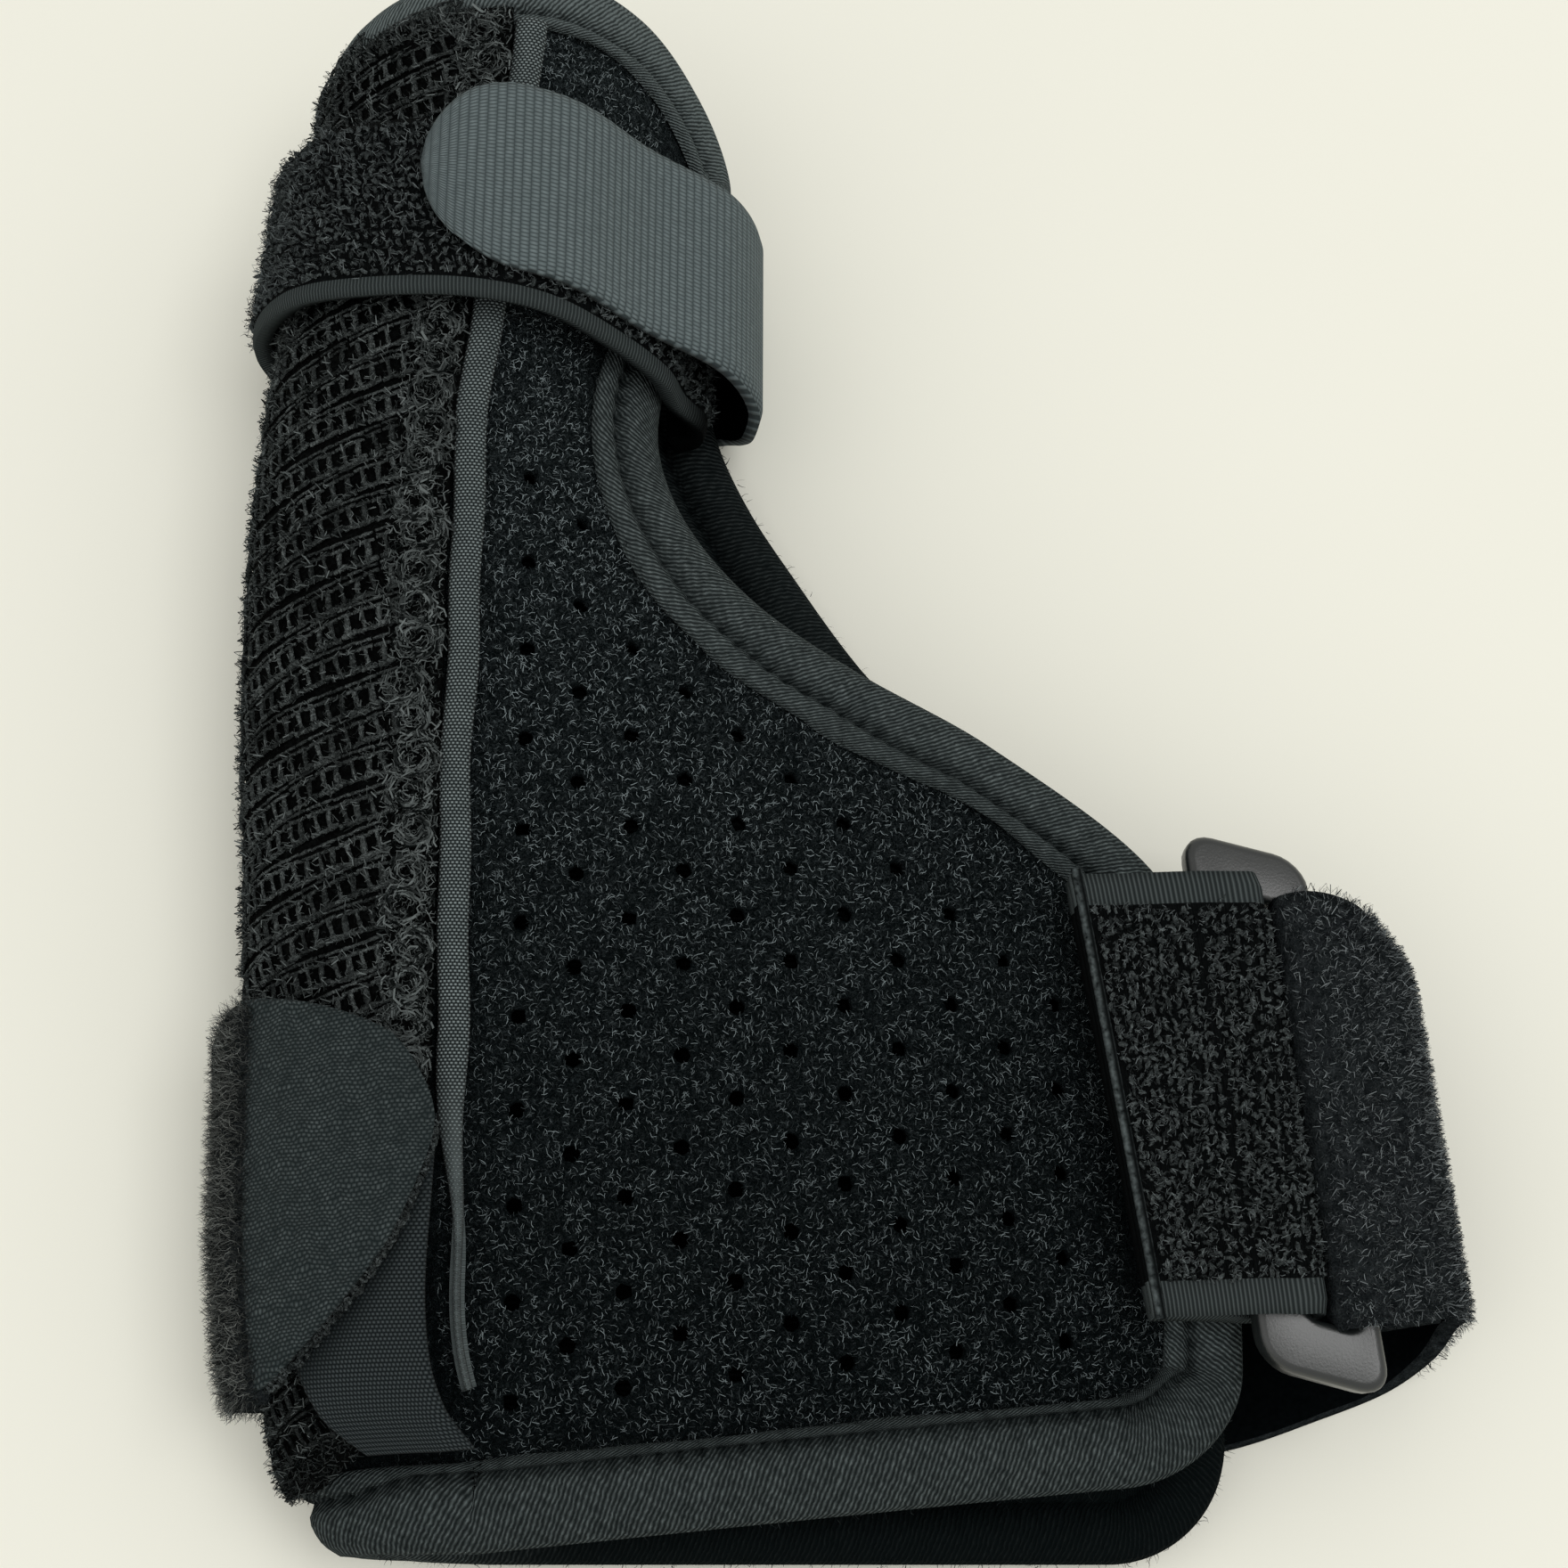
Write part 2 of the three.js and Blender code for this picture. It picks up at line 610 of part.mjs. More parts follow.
// Wrist tab: knit tab on the fold, narrowing to a blunt tip at the seam tape.
function wristTab() {
  return clothSolid(WRIST_TAB.columns, WRIST_TAB.rows, (i, j, side) => {
    const p = smoothStart(j / WRIST_TAB.rows);
    const u = lerp(WRIST_TAB.start, WRIST_TAB.tip, p);
    const top = lerp(WRIST_TAB_EDGES.top, WRIST_TAB_EDGES.tipTop, Math.pow(p, 6));
    const bottom = lerp(WRIST_TAB_EDGES.bottom, WRIST_TAB_EDGES.tipBottom, Math.pow(p, 1.9));
    const y = lerp(bottom, top, i / WRIST_TAB.columns);
    const lift = lerp(5.0, 3.9, smooth((y + 60) / 25));
    return overFace(u, y, lift + side * TAB_WEBBING);
  });
}

function smoothStart(t) {
  return 1 - (1 - t) * (1 - t);
}

const PIECES = [
  { name: "body_shell", make: bodyShell, color: 0x191b1d, roughness: 0.95 },
  { name: "edge_binding", make: edgeBinding, color: 0x24272b, roughness: 0.7 },
  { name: "stay_pocket", make: stayPocket, color: 0x121315, roughness: 0.95 },
  { name: "seam_tape", make: seamTape, color: 0x3c4043, roughness: 0.85 },
  { name: "hem_tape", make: hemTape, color: 0x33363a, roughness: 0.85 },
  { name: "thumb_band", make: thumbBand, color: 0x1d1f21, roughness: 0.95 },
  { name: "thumb_tab", make: thumbTab, color: 0x3a3d40, roughness: 0.8 },
  { name: "ring_tab", make: ringTab, color: 0x1c1e20, roughness: 0.95 },
  { name: "ring", make: ringSolid, color: 0x141517, roughness: 0.4 },
  { name: "wrist_strap", make: wristStrap, color: 0x1a1b1d, roughness: 1.0 },
  { name: "wrist_tab", make: wristTab, color: 0x2a2c2f, roughness: 0.85 },
];

const splint = new THREE.Group();
splint.name = "wrist_thumb_splint";
for (const { name, make, color, roughness } of PIECES) {
  const material = new THREE.MeshStandardMaterial({ color, roughness, metalness: 0 });
  const mesh = new THREE.Mesh(geometryFrom(make()), material);
  mesh.name = name;
  splint.add(mesh);
}
splint.position.set(-MIDDLE.x, -MIDDLE.y, 0);

export default splint;
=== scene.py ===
import math

import bmesh
import bpy
import numpy as np
from mathutils import Matrix


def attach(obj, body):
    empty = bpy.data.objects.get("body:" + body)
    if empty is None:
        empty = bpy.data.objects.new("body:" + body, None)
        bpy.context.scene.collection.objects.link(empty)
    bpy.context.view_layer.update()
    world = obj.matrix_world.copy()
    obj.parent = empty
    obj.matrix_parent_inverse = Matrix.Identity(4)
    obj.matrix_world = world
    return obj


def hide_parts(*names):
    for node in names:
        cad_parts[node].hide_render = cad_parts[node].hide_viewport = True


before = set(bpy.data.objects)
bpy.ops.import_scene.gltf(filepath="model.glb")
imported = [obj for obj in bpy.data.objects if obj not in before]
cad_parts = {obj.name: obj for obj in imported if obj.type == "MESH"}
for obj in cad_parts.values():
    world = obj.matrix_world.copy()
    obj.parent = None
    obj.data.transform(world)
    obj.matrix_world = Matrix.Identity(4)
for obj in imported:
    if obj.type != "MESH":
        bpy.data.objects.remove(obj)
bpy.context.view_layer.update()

# Body: one sheet of loop-pile laminate about 3 mm thick, folded along the thumb side into a
# front and a back leaf. Vent holes are punched through the front leaf; its faces are brushed.
MM = 0.001
MIDDLE = np.array([4.82, -0.67, 0.0])
WRIST_END, THUMB_END, CORNER, CROWN = -88.0, 87.0, 11.0, 2.2
BODY_WALL = 3.0
SECTION = "y left peak height front front_z back floor rise tuck".split()
SECTIONS = np.array([
    [-88, -46.0, -31.5, 20.0, 46.6, 12.5, 45.5, 3.0, 8, 0],
    [-80, -50.5, -34.0, 22.0, 47.2, 13.0, 45.8, 4.2, 7, 0],
    [-70, -53.5, -36.5, 24.0, 47.4, 13.8, 45.8, 4.4, 5, 0],
    [-50, -55.8, -37.0, 26.0, 47.4, 14.4, 45.5, 4.4, 2, 0],
    [-30, -57.0, -37.0, 28.0, 45.2, 15.3, 42.0, 4.4, 0, 0],
    [-17, -57.8, -37.0, 29.5, 39.8, 17.4, 33.0, 3.2, 0, 0],
    [-4, -58.9, -37.0, 31.0, 21.8, 21.5, 21.0, 2.4, 0, 0],
    [4, -59.2, -36.9, 32.0, 7.4, 23.2, 14.5, 2.4, 0, 0],
    [12, -59.3, -36.9, 33.0, -3.9, 24.0, 7.7, 2.4, 0, 0],
    [22, -59.2, -36.8, 34.0, -12.1, 24.0, 0.9, 2.6, 0, 0],
    [33, -58.6, -36.2, 35.0, -15.9, 22.8, -5.8, 3.0, 0, 0],
    [45, -57.3, -35.0, 36.0, -15.0, 19.8, -10.6, 4.4, 0, 0],
    [60, -55.8, -33.2, 36.8, -11.6, 16.2, -11.2, 4.4, -2, -1],
    [75, -54.4, -31.8, 36.8, -8.2, 13.2, -10.6, 4.4, -4, -5],
    [87, -53.2, -31.2, 36.2, -7.2, 12.4, -11.0, 4.4, -7, -10],
])
BODY_FLAT = {"width": 215.0, "length": 175.0, "area": 0.0300}
HOLE = {
    "radius": 0.95, "x": -28.0, "y": -75.3, "columns": 14, "rows": 18,
    "column": 5.76, "row": 10.0, "shift": -4.7,
    "margin": 11.0, "from_peak": 6.0, "last_y": 34.0, "tab_x": 33.0, "tab_y": -12.0,
}


def smooth(t):
    t = np.clip(t, 0, 1)
    return t * t * (3 - 2 * t)


def blend_rows(table, column, y):
    """One column of a table at stations y, smoothly between its rows."""
    stations, values = table[:, 0], table[:, column]
    padded_s = np.concatenate([stations[:1], stations, stations[-1:]])
    padded_v = np.concatenate([values[:1], values, values[-1:]])
    slopes = (padded_v[2:] - padded_v[:-2]) / (padded_s[2:] - padded_s[:-2])
    i = np.clip(np.searchsorted(stations, y) - 1, 0, len(stations) - 2)
    span = stations[i + 1] - stations[i]
    t = (y - stations[i]) / span
    rise = values[i + 1] - values[i]
    bend = (1 - t) * slopes[i] * span - t * slopes[i + 1] * span + (2 * t - 1) * rise
    return values[i] + t * rise + t * (1 - t) * bend


def section(name, y):
    return blend_rows(SECTIONS, SECTION.index(name), np.asarray(y, float))


def outer_face(u, y):
    """Outer face of the body: u runs to 1 over the front leaf, to 2 round the fold, to 3 under the back."""
    u, y = np.broadcast_arrays(np.asarray(u, float), np.asarray(y, float))
    peak, height, floor = section("peak", y), section("height", y), section("floor", y)
    over = np.clip(1 - u, 0, None)
    front = np.stack([
        peak + (section("front", y) - peak) * over,
        y + section("rise", y) * over ** np.where(y < 0, 1, 2.4),
        height - (height - section("front_z", y)) * over ** CROWN,
    ], -1)
    angle = np.pi * (u - 0.5)
    fold = np.stack([
        peak + (peak - section("left", y)) * np.cos(angle),
        y + section("tuck", y) * np.sin(np.pi / 2 * (u - 1)) ** 2,
        (height + floor) / 2 + (height - floor) / 2 * np.sin(angle),
    ], -1)
    back = np.stack([peak + (section("back", y) - peak) * (u - 2), y + section("tuck", y), floor], -1)
    return np.where((u <= 1)[..., None], front, np.where((u <= 2)[..., None], fold, back))


def unit(vectors):
    return vectors / np.maximum(np.linalg.norm(vectors, axis=-1, keepdims=True), 1e-9)


def face_tangents(u, y):
    step = 0.01
    across = (outer_face(u + step, y) - outer_face(u - step, y)) / (2 * step)
    along = (outer_face(u, y + step) - outer_face(u, y - step)) / (2 * step)
    return across, along


def face_normal(u, y):
    across, along = face_tangents(u, y)
    return unit(np.cross(along, across))


def over_face(u, y, lift):
    return outer_face(u, y) + face_normal(u, y) * np.asarray(lift, float)[..., None]


def corner_cut(y):
    rest = CORNER - np.clip(np.minimum(y - WRIST_END, THUMB_END - y), 0, CORNER)
    return CORNER - np.sqrt(CORNER**2 - rest**2)


def front_edge(y):
    return corner_cut(y) / (section("front", y) - section("peak", y))


def back_edge(y):
    return 3 - corner_cut(y) / (section("back", y) - section("peak", y))


def piece_of(name, mesh):
    mesh.shade_smooth()
    piece = bpy.data.objects.new(name, mesh)
    bpy.context.scene.collection.objects.link(piece)
    return piece


def fix(piece, node=None):
    """Fixes a piece to the splint's one body, and hides the CAD node that it stands for."""
    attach(piece, "root")
    if node:
        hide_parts(node)


def cloth(name, columns, rows, place, width, length):
    """A sheet of cloth: a flat grid laid out by place(s, t) in millimetres; weave keeps its flat places."""
    bm = bmesh.new()
    bmesh.ops.create_grid(bm, x_segments=columns, y_segments=rows, size=0.5)
    mesh = bpy.data.meshes.new(name)
    bm.to_mesh(mesh)
    bm.free()
    flat = np.empty(len(mesh.vertices) * 3)
    mesh.vertices.foreach_get("co", flat)
    s, t = flat.reshape(-1, 3)[:, :2].T + 0.5
    mesh.vertices.foreach_set("co", ((place(s, t) - MIDDLE) * MM).ravel())
    weave = mesh.attributes.new("weave", "FLOAT_VECTOR", "POINT")
    weave.data.foreach_set("vector", np.stack([s * width, t * length, 0 * s], -1).ravel())
    return piece_of(name, mesh)


def thicken(piece, thick, inner_slot=0):
    wall = piece.modifiers.new("wall", "SOLIDIFY")
    wall.thickness = thick * MM
    wall.offset = -1
    wall.material_offset = inner_slot


class Finish:
    """A cloth or plastic finish: one Principled shader, and the small sums that paint it."""

    def __init__(self, name, roughness, sheen=0.0, specular=0.03):
        self.material = bpy.data.materials.new(name)
        self.material.use_nodes = True
        self.tree = self.material.node_tree
        self.shader = self.tree.nodes["Principled BSDF"]
        self.shader.inputs["Roughness"].default_value = roughness
        self.shader.inputs["Sheen Weight"].default_value = sheen
        self.shader.inputs["Specular IOR Level"].default_value = specular
        self.places = self.tree.nodes.new("ShaderNodeTexCoord").outputs["Object"]

    def set(self, socket, value):
        if isinstance(value, bpy.types.NodeSocket):
            self.tree.links.new(value, socket)
        else:
            socket.default_value = value

    def sum(self, operation, first, second=0.0, third=0.0):
        node = self.tree.nodes.new("ShaderNodeMath")
        node.operation = operation
        for socket, value in zip(node.inputs, (first, second, third)):
            self.set(socket, value)
        return node.outputs[0]

    def times(self, first, second):
        return self.sum("MULTIPLY", first, second)

    def scaled(self, value, factor, start):
        return self.sum("MULTIPLY_ADD", value, factor, start)

    def attribute(self, name):
        node = self.tree.nodes.new("ShaderNodeAttribute")
        node.attribute_name = name
        return node

    def shade(self):
        return self.attribute("shade").outputs["Fac"]

    def weave(self):
        node = self.tree.nodes.new("ShaderNodeSeparateXYZ")
        self.set(node.inputs[0], self.attribute("weave").outputs["Vector"])
        return node.outputs[0], node.outputs[1]

    def noise(self, size, detail=2.0, distort=0.0):
        """Soft noise with grains of about that size in millimetres."""
        node = self.tree.nodes.new("ShaderNodeTexNoise")
        node.inputs["Scale"].default_value = 1000.0 / size
        node.inputs["Detail"].default_value = detail
        node.inputs["Distortion"].default_value = distort
        self.set(node.inputs["Vector"], self.places)
        return node.outputs[0]

    def curls(self, size, sharp):
        """Thin curling lines, as of loose fibres: the crest lines of soft noise."""
        fold = self.sum("ABSOLUTE", self.sum("SUBTRACT", self.noise(size, 1.0, distort=0.6), 0.5))
        return self.sum("POWER", self.sum("SUBTRACT", 1.0, self.times(fold, 2.0)), sharp)

    def waves(self, place, pitch):
        turn = self.times(place, 2 * math.pi / pitch)
        return self.scaled(self.sum("SINE", turn), 0.5, 0.5)

    def stitches(self, across, along, wide, tall, sharp=1.0):
        """Rows of small rounded cells, each row set half a cell on, as knit and basket weave show."""
        row = self.sum("DIVIDE", along, tall)
        shift = self.times(self.sum("FLOOR", row), 0.5)
        column = self.sum("ADD", self.sum("DIVIDE", across, wide), shift)
        high = self.sum("SINE", self.times(self.sum("FRACT", row), math.pi))
        broad = self.sum("SINE", self.times(self.sum("FRACT", column), math.pi))
        return self.sum("POWER", self.times(high, broad), sharp)

    def mix(self, factor, low, high):
        node = self.tree.nodes.new("ShaderNodeMix")
        node.data_type = "RGBA"
        self.set(node.inputs[0], factor)
        for socket, value in ((node.inputs[6], low), (node.inputs[7], high)):
            self.set(socket, value if isinstance(value, bpy.types.NodeSocket) else (*value, 1.0))
        return node.outputs[2]

    def paint(self, colour, relief=None, depth=0.1):
        """Sets the colour and a relief of that depth in millimetres."""
        self.set(self.shader.inputs["Base Color"], colour)
        if relief is not None:
            bump = self.tree.nodes.new("ShaderNodeBump")
            bump.inputs["Distance"].default_value = depth * MM
            bump.inputs["Strength"].default_value = 1.0
            self.set(bump.inputs["Height"], relief)
            self.set(self.shader.inputs["Normal"], bump.outputs[0])
        return self.material


pile = Finish("loop_pile", 0.95, specular=0.0)
pile_lines = pile.sum("MAXIMUM", pile.curls(0.5, 11.0), pile.curls(0.3, 8.0))
pile_grain_and_light = pile.sum("POWER", pile.times(pile.noise(0.8, 4.0), pile_lines), 1.5)
# Painted light: the grain is drawn lighter towards the thumb end, as if lit more there.
pile_grain_and_light = pile.times(pile_grain_and_light, pile.scaled(pile.weave()[1], 0.0075, 0.4))
pile_cloud = pile.mix(pile.noise(14.0), (0.0006, 0.0014, 0.0016), (0.0022, 0.0036, 0.004))
pile.paint(pile.mix(pile_grain_and_light, pile_cloud, (0.085, 0.107, 0.115)), pile_lines, 0.3)
lining = Finish("lining_knit", 0.9)
lining_rows = lining.stitches(*lining.weave(), 0.9, 0.7)
lining.paint(lining.mix(lining_rows, (0.0025, 0.0032, 0.0036), (0.009, 0.0115, 0.0125)), lining_rows, 0.15)

HOLE_SPOTS = []
for k in range(HOLE["columns"]):
    for m in range(HOLE["rows"]):
        x = HOLE["x"] + k * HOLE["column"]
        y = HOLE["y"] + m * HOLE["row"] + k * HOLE["shift"]
        front_limit = min(
            section("front", max(y + near, WRIST_END)) - HOLE["margin"] + abs(near) / 2
            for near in (-HOLE["margin"], 0, HOLE["margin"])
        )
        clear_of_ring_tab = y >= HOLE["tab_y"] or x <= HOLE["tab_x"]
        along = WRIST_END + HOLE["margin"] <= y <= HOLE["last_y"]
        across = section("peak", y) + HOLE["from_peak"] <= x <= front_limit
        if along and across and clear_of_ring_tab:
            HOLE_SPOTS.append(((section("front", y) - x) / (section("front", y) - section("peak", y)), y))
HOLE_SPOTS = np.array(HOLE_SPOTS)

BODY_COLUMNS = {"back": 12, "fold": 20, "front": 96}
BODY_ROWS = 184
body_stops = np.cumsum([0, BODY_COLUMNS["back"], BODY_COLUMNS["fold"], BODY_COLUMNS["front"]])


def body_place(s, t):
    y = WRIST_END + (THUMB_END - WRIST_END) * t
    column = s * body_stops[-1]
    u = np.select(
        [column <= body_stops[1], column <= body_stops[2]],
        [
            back_edge(y) + (2 - back_edge(y)) * column / body_stops[1],
            2 - (column - body_stops[1]) / BODY_COLUMNS["fold"],
        ],
        1 + (front_edge(y) - 1) * (column - body_stops[2]) / BODY_COLUMNS["front"],
    )
    return outer_face(u, y)


body = cloth(
    "splint_body", int(body_stops[-1]), BODY_ROWS, body_place, BODY_FLAT["width"], BODY_FLAT["length"]
)
bm = bmesh.new()
bm.from_mesh(body.data)
bm.faces.ensure_lookup_table()
face_middles = np.array([f.calc_center_median() for f in bm.faces])
hole_middles = (outer_face(*HOLE_SPOTS.T) - MIDDLE) * MM
hole_normals = face_normal(*HOLE_SPOTS.T)
punched = set()
for middle in hole_middles:
    near = np.linalg.norm(face_middles - middle, axis=1) < 0.92 * HOLE["radius"] * MM
    punched.update(np.flatnonzero(near).tolist())
rims = {v for i in punched for v in bm.faces[i].verts}
bmesh.ops.delete(bm, geom=[bm.faces[i] for i in punched], context="FACES")
for vert in rims:
    if vert.is_valid and vert.is_boundary:
        which = np.linalg.norm(hole_middles - np.array(vert.co), axis=1).argmin()
        away = np.array(vert.co) - hole_middles[which]
        away -= hole_normals[which] * (away @ hole_normals[which])
        vert.co = hole_middles[which] + unit(away) * HOLE["radius"] * MM
bm.to_mesh(body.data)
bm.free()
body.data.materials.append(pile.material)
body.data.materials.append(lining.material)
thicken(body, BODY_WALL, inner_slot=1)
fix(body, "body_shell")

# Pile of the front leaf: short loose fibres of the brushed loops, which lie flat in all
# directions and catch the light over the dark ground. There are none in the holes or under the ring tab.
PILE = {
    "count": 40000, "length": (0.26, 0.8), "height": (0.1, 0.38),
    "x": (-36, 46), "y": (WRIST_END + 6, THUMB_END - 2),
    "fold": 0.985, "edge": 6.5, "tab_x": 36, "tab_y": -43, "tab_half": 23,
}


def fibre(curl, turns, upright=False, width=0.07):
    """One loose fibre of unit length as a narrow ribbon, lying in an arch or standing up."""
    shape = bmesh.new()
    bmesh.ops.create_grid(shape, x_segments=1, y_segments=2, size=0.5)
    for vert in shape.verts:
        side, t = vert.co.x, vert.co.y + 0.5
        bend = curl * math.sin(turns * math.pi * t)
        if upright:
            vert.co = (0.35 * t * t, bend + side * width * (1.3 - t), t)
        else:
            vert.co = (t - 0.5, bend + side * width, math.sin(math.pi * t))
    return shape


def strew(name, shapes, spots, frames, sizes, shade, material):
    """Many small things as one mesh: copies of a few shapes, set on spots, turned and sized."""
    sizes = sizes[:, None] * np.ones(3) if sizes.ndim == 1 else sizes
    kinds = np.arange(len(spots)) % len(shapes)
    points, corners, shades, start = [], [], [], 0
    for kind, shape in enumerate(shapes):
        shape.verts.index_update()
        chosen = np.flatnonzero(kinds == kind)
        local = np.array([vert.co for vert in shape.verts])
        sized = local[None] * sizes[chosen][:, None, :]
        placed = spots[chosen][:, None] + np.einsum("nij,nvj->nvi", frames[chosen], sized)
        firsts = start + np.arange(len(chosen)) * len(local)
        for face in shape.faces:
            ring = np.array([vert.index for vert in face.verts])
            corners.extend((firsts[:, None] + ring).tolist())
        points.append(placed.reshape(-1, 3))
        shades.append(np.repeat(shade[chosen], len(local)))
        start += placed.shape[0] * placed.shape[1]
    mesh = bpy.data.meshes.new(name)
    mesh.from_pydata((np.concatenate(points) - MIDDLE) * MM, [], corners)
    tone = mesh.attributes.new("shade", "FLOAT", "POINT")
    tone.data.foreach_set("value", np.concatenate(shades).astype(np.float32))
    mesh.materials.append(material)
    for shape in shapes:
        shape.free()
    return piece_of(name, mesh)


def frames_on(normals, headings):
    """Turned axes for things that stand on a face: heading, side and normal as columns."""
    along = unit(headings - normals * (headings * normals).sum(-1, keepdims=True))
    return np.stack([along, np.cross(normals, along), normals], -1)


def fibre_finish(name, dark, light):
    finish = Finish(name, 0.8, specular=0.01)
    tone = finish.shade()
    return finish.paint(finish.mix(tone, dark, light))


draw = np.random.default_rng(7)
wanted = int(PILE["count"] * 2.5)
pile_x = draw.uniform(*PILE["x"], wanted)
pile_y = draw.uniform(*PILE["y"], wanted)
leaf_front, leaf_peak = section("front", pile_y), section("peak", pile_y)
pile_u = (leaf_front - pile_x) / (leaf_front - leaf_peak)
ahead = section("front", np.minimum(pile_y + 6, THUMB_END)) - 3
on_leaf = (pile_u < PILE["fold"]) & (pile_x < leaf_front - PILE["edge"]) & (pile_x < ahead)
on_leaf &= ~((pile_x > PILE["tab_x"]) & (abs(pile_y - PILE["tab_y"]) < PILE["tab_half"]))
holes_at = outer_face(*HOLE_SPOTS.T)
pile_at = outer_face(pile_u, pile_y)
hole_gap = np.full(wanted, 99.0)
for spot in holes_at:
    hole_gap = np.minimum(hole_gap, np.linalg.norm(pile_at - spot, axis=1))
on_leaf &= hole_gap > HOLE["radius"] - 0.1
kept = np.flatnonzero(on_leaf)[: PILE["count"]]
pile_u, pile_y, pile_at = pile_u[kept], pile_y[kept], pile_at[kept]
pile_normal = face_normal(pile_u, pile_y)
turn = draw.uniform(0, 2 * np.pi, len(kept))
pile_length = draw.uniform(*PILE["length"], len(kept))
pile_height = draw.uniform(*PILE["height"], len(kept))
pile_fibres = strew(
    "pile_fibres",
    [fibre(0.1, 1), fibre(0.16, 1.6), fibre(0.24, 1.0), fibre(-0.14, 2.1)],
    pile_at + pile_normal * 0.1,
    frames_on(pile_normal, np.stack([np.cos(turn), np.sin(turn), 0 * turn], -1)),
    np.stack([pile_length, pile_length, pile_height], -1),
    # Painted light: the fibres are drawn brighter towards the thumb end, as if lit more there.
    draw.uniform(0, 1, len(kept)) ** 2.5 * (0.92 + 2.3 * smooth((pile_y + 50) / 130)),
    fibre_finish("pile_fibre", (0.0016, 0.0035, 0.0042), (0.215, 0.256, 0.268)),
)
fix(pile_fibres)

# Binding: twill tape folded over the whole edge of the body and sewn through in one line,
# which leaves a narrow lip inside the seam and a broad roll outside it.
BINDING = {"width": 26.0, "length": 640.0, "steps": 1180, "stitch": 2.2}
SEAM_REACH = 4.9
BINDING_SECTION = [
    ("lip", 7.7, 0.2), ("lip", 7.65, 0.75), ("lip", 7.3, 1.15), ("lip", 6.6, 1.4), ("lip", 5.9, 1.45),
    ("lip", 5.35, 1.3), ("seam", 4.9, 1.0), ("lip", 4.5, 1.3), ("lip", 4.0, 1.75), ("lip", 3.2, 2.0),
    ("lip", 2.2, 2.05), ("lip", 1.2, 1.95), ("lip", 0.3, 1.65), ("rim", 1.0, 1.0), ("rim", 1.55, 0.0),
    ("rim", 1.7, -1.5), ("rim", 1.55, -3.0), ("rim", 1.0, -4.0), ("lip", 0.3, -4.65), ("lip", 2.2, -4.95),
    ("lip", 4.3, -4.5), ("seam", 4.85, -3.9), ("lip", 5.4, -4.6), ("lip", 6.5, -4.75), ("lip", 7.4, -4.4),
    ("lip", 7.7, -3.4),
]


def run_along(line):
    """Distance along a line of points, from 0 at its first."""
    return np.concatenate([[0], np.cumsum(np.linalg.norm(np.diff(line, axis=0), axis=1))])


def edge_line(steps):
    """Even stations round the body's whole edge, as u and y on its outer face."""
    ramp = 0.5 - 0.5 * np.cos(np.linspace(0, np.pi, 400))
    rows = WRIST_END + (THUMB_END - WRIST_END) * ramp
    thumb = front_edge(THUMB_END) + (back_edge(THUMB_END) - front_edge(THUMB_END)) * ramp
    wrist = back_edge(WRIST_END) + (front_edge(WRIST_END) - back_edge(WRIST_END)) * ramp
    u = np.concatenate([back_edge(rows[::-1]), wrist[1:], front_edge(rows)[1:], thumb[1:]])
    y = np.concatenate([rows[::-1], 0 * wrist[1:] + WRIST_END, rows[1:], 0 * thumb[1:] + THUMB_END])
    run = run_along(outer_face(u, y))
    even = np.linspace(0, run[-1], steps + 1)
    return np.interp(even, run, u), np.interp(even, run, y), even


edge_u, edge_y, edge_run = edge_line(BINDING["steps"])
edge_at = outer_face(edge_u, edge_y)
edge_travel = unit(np.roll(edge_at[:-1], -1, 0) - np.roll(edge_at[:-1], 1, 0))
edge_travel = np.concatenate([edge_travel, edge_travel[:1]])
edge_normal = face_normal(edge_u, edge_y)
edge_away = unit(np.cross(edge_travel, edge_normal))


def beside_edge(kind, reach, height, k):
    """Places beside the edge: a lip lies in over the face, a rim stands out beyond it."""
    reach, height = np.broadcast_to(reach, k.shape), np.broadcast_to(height, k.shape)
    if kind == "rim":
        return edge_at[k] + edge_away[k] * reach[:, None] + edge_normal[k] * height[:, None]
    across, along = face_tangents(edge_u[k], edge_y[k])
    aa, ab, bb = (across**2).sum(-1), (across * along).sum(-1), (along**2).sum(-1)
    ra, rb = -(across * edge_away[k]).sum(-1), -(along * edge_away[k]).sum(-1)
    det = aa * bb - ab * ab
    du, dy = (ra * bb - rb * ab) / det, (rb * aa - ra * ab) / det
    return over_face(edge_u[k] + du * reach, edge_y[k] + dy * reach, height)


def front_reach(reach, k):
    """How far in the tape's front lies: broad round the inner curve, with a narrow lip at both ends."""
    y, front = edge_y[k], smooth((1.3 - edge_u[k]) / 0.2)
    curve = smooth((y + 8) / 14) * smooth((52 - y) / 16) * front
    wrist = smooth((-76 - y) / 8) * front
    slant = smooth((15 - y) / 14) * smooth((y + 52) / 12) * front
    seam = SEAM_REACH * (1 + 0.3 * curve + 0.35 * wrist - 0.12 * slant)
    lip = 1 + 0.3 * curve - 0.6 * wrist - 0.4 * slant - 0.45 * smooth((y - 62) / 20)
    return np.where(reach > SEAM_REACH, seam + (reach - SEAM_REACH) * lip, reach * seam / SEAM_REACH)


def binding_place(s, t):
    column = np.round(s * (len(BINDING_SECTION) - 1)).astype(int)
    k = np.round(t * BINDING["steps"]).astype(int)
    spots = np.empty((len(s), 3))
    for i, (kind, reach, height) in enumerate(BINDING_SECTION):
        here = column == i
        run = edge_run[k[here]]
        wave = 0.16 * np.sin(run / 5.3) + 0.1 * np.sin(run / 2.1 + 1.0)
        side = np.sign(height) if kind != "rim" else 0
        sunk = 0.1 - by_seam(kind, reach) * (0.3 + 0.6 * pucker(run))
        if kind != "rim" and height > 0:
            reach = front_reach(reach, k[here])
        if i == 0:
            reach = reach + wave
        spots[here] = beside_edge(kind, reach, height + side * (sunk + 0.3 * wave), k[here])
    return spots


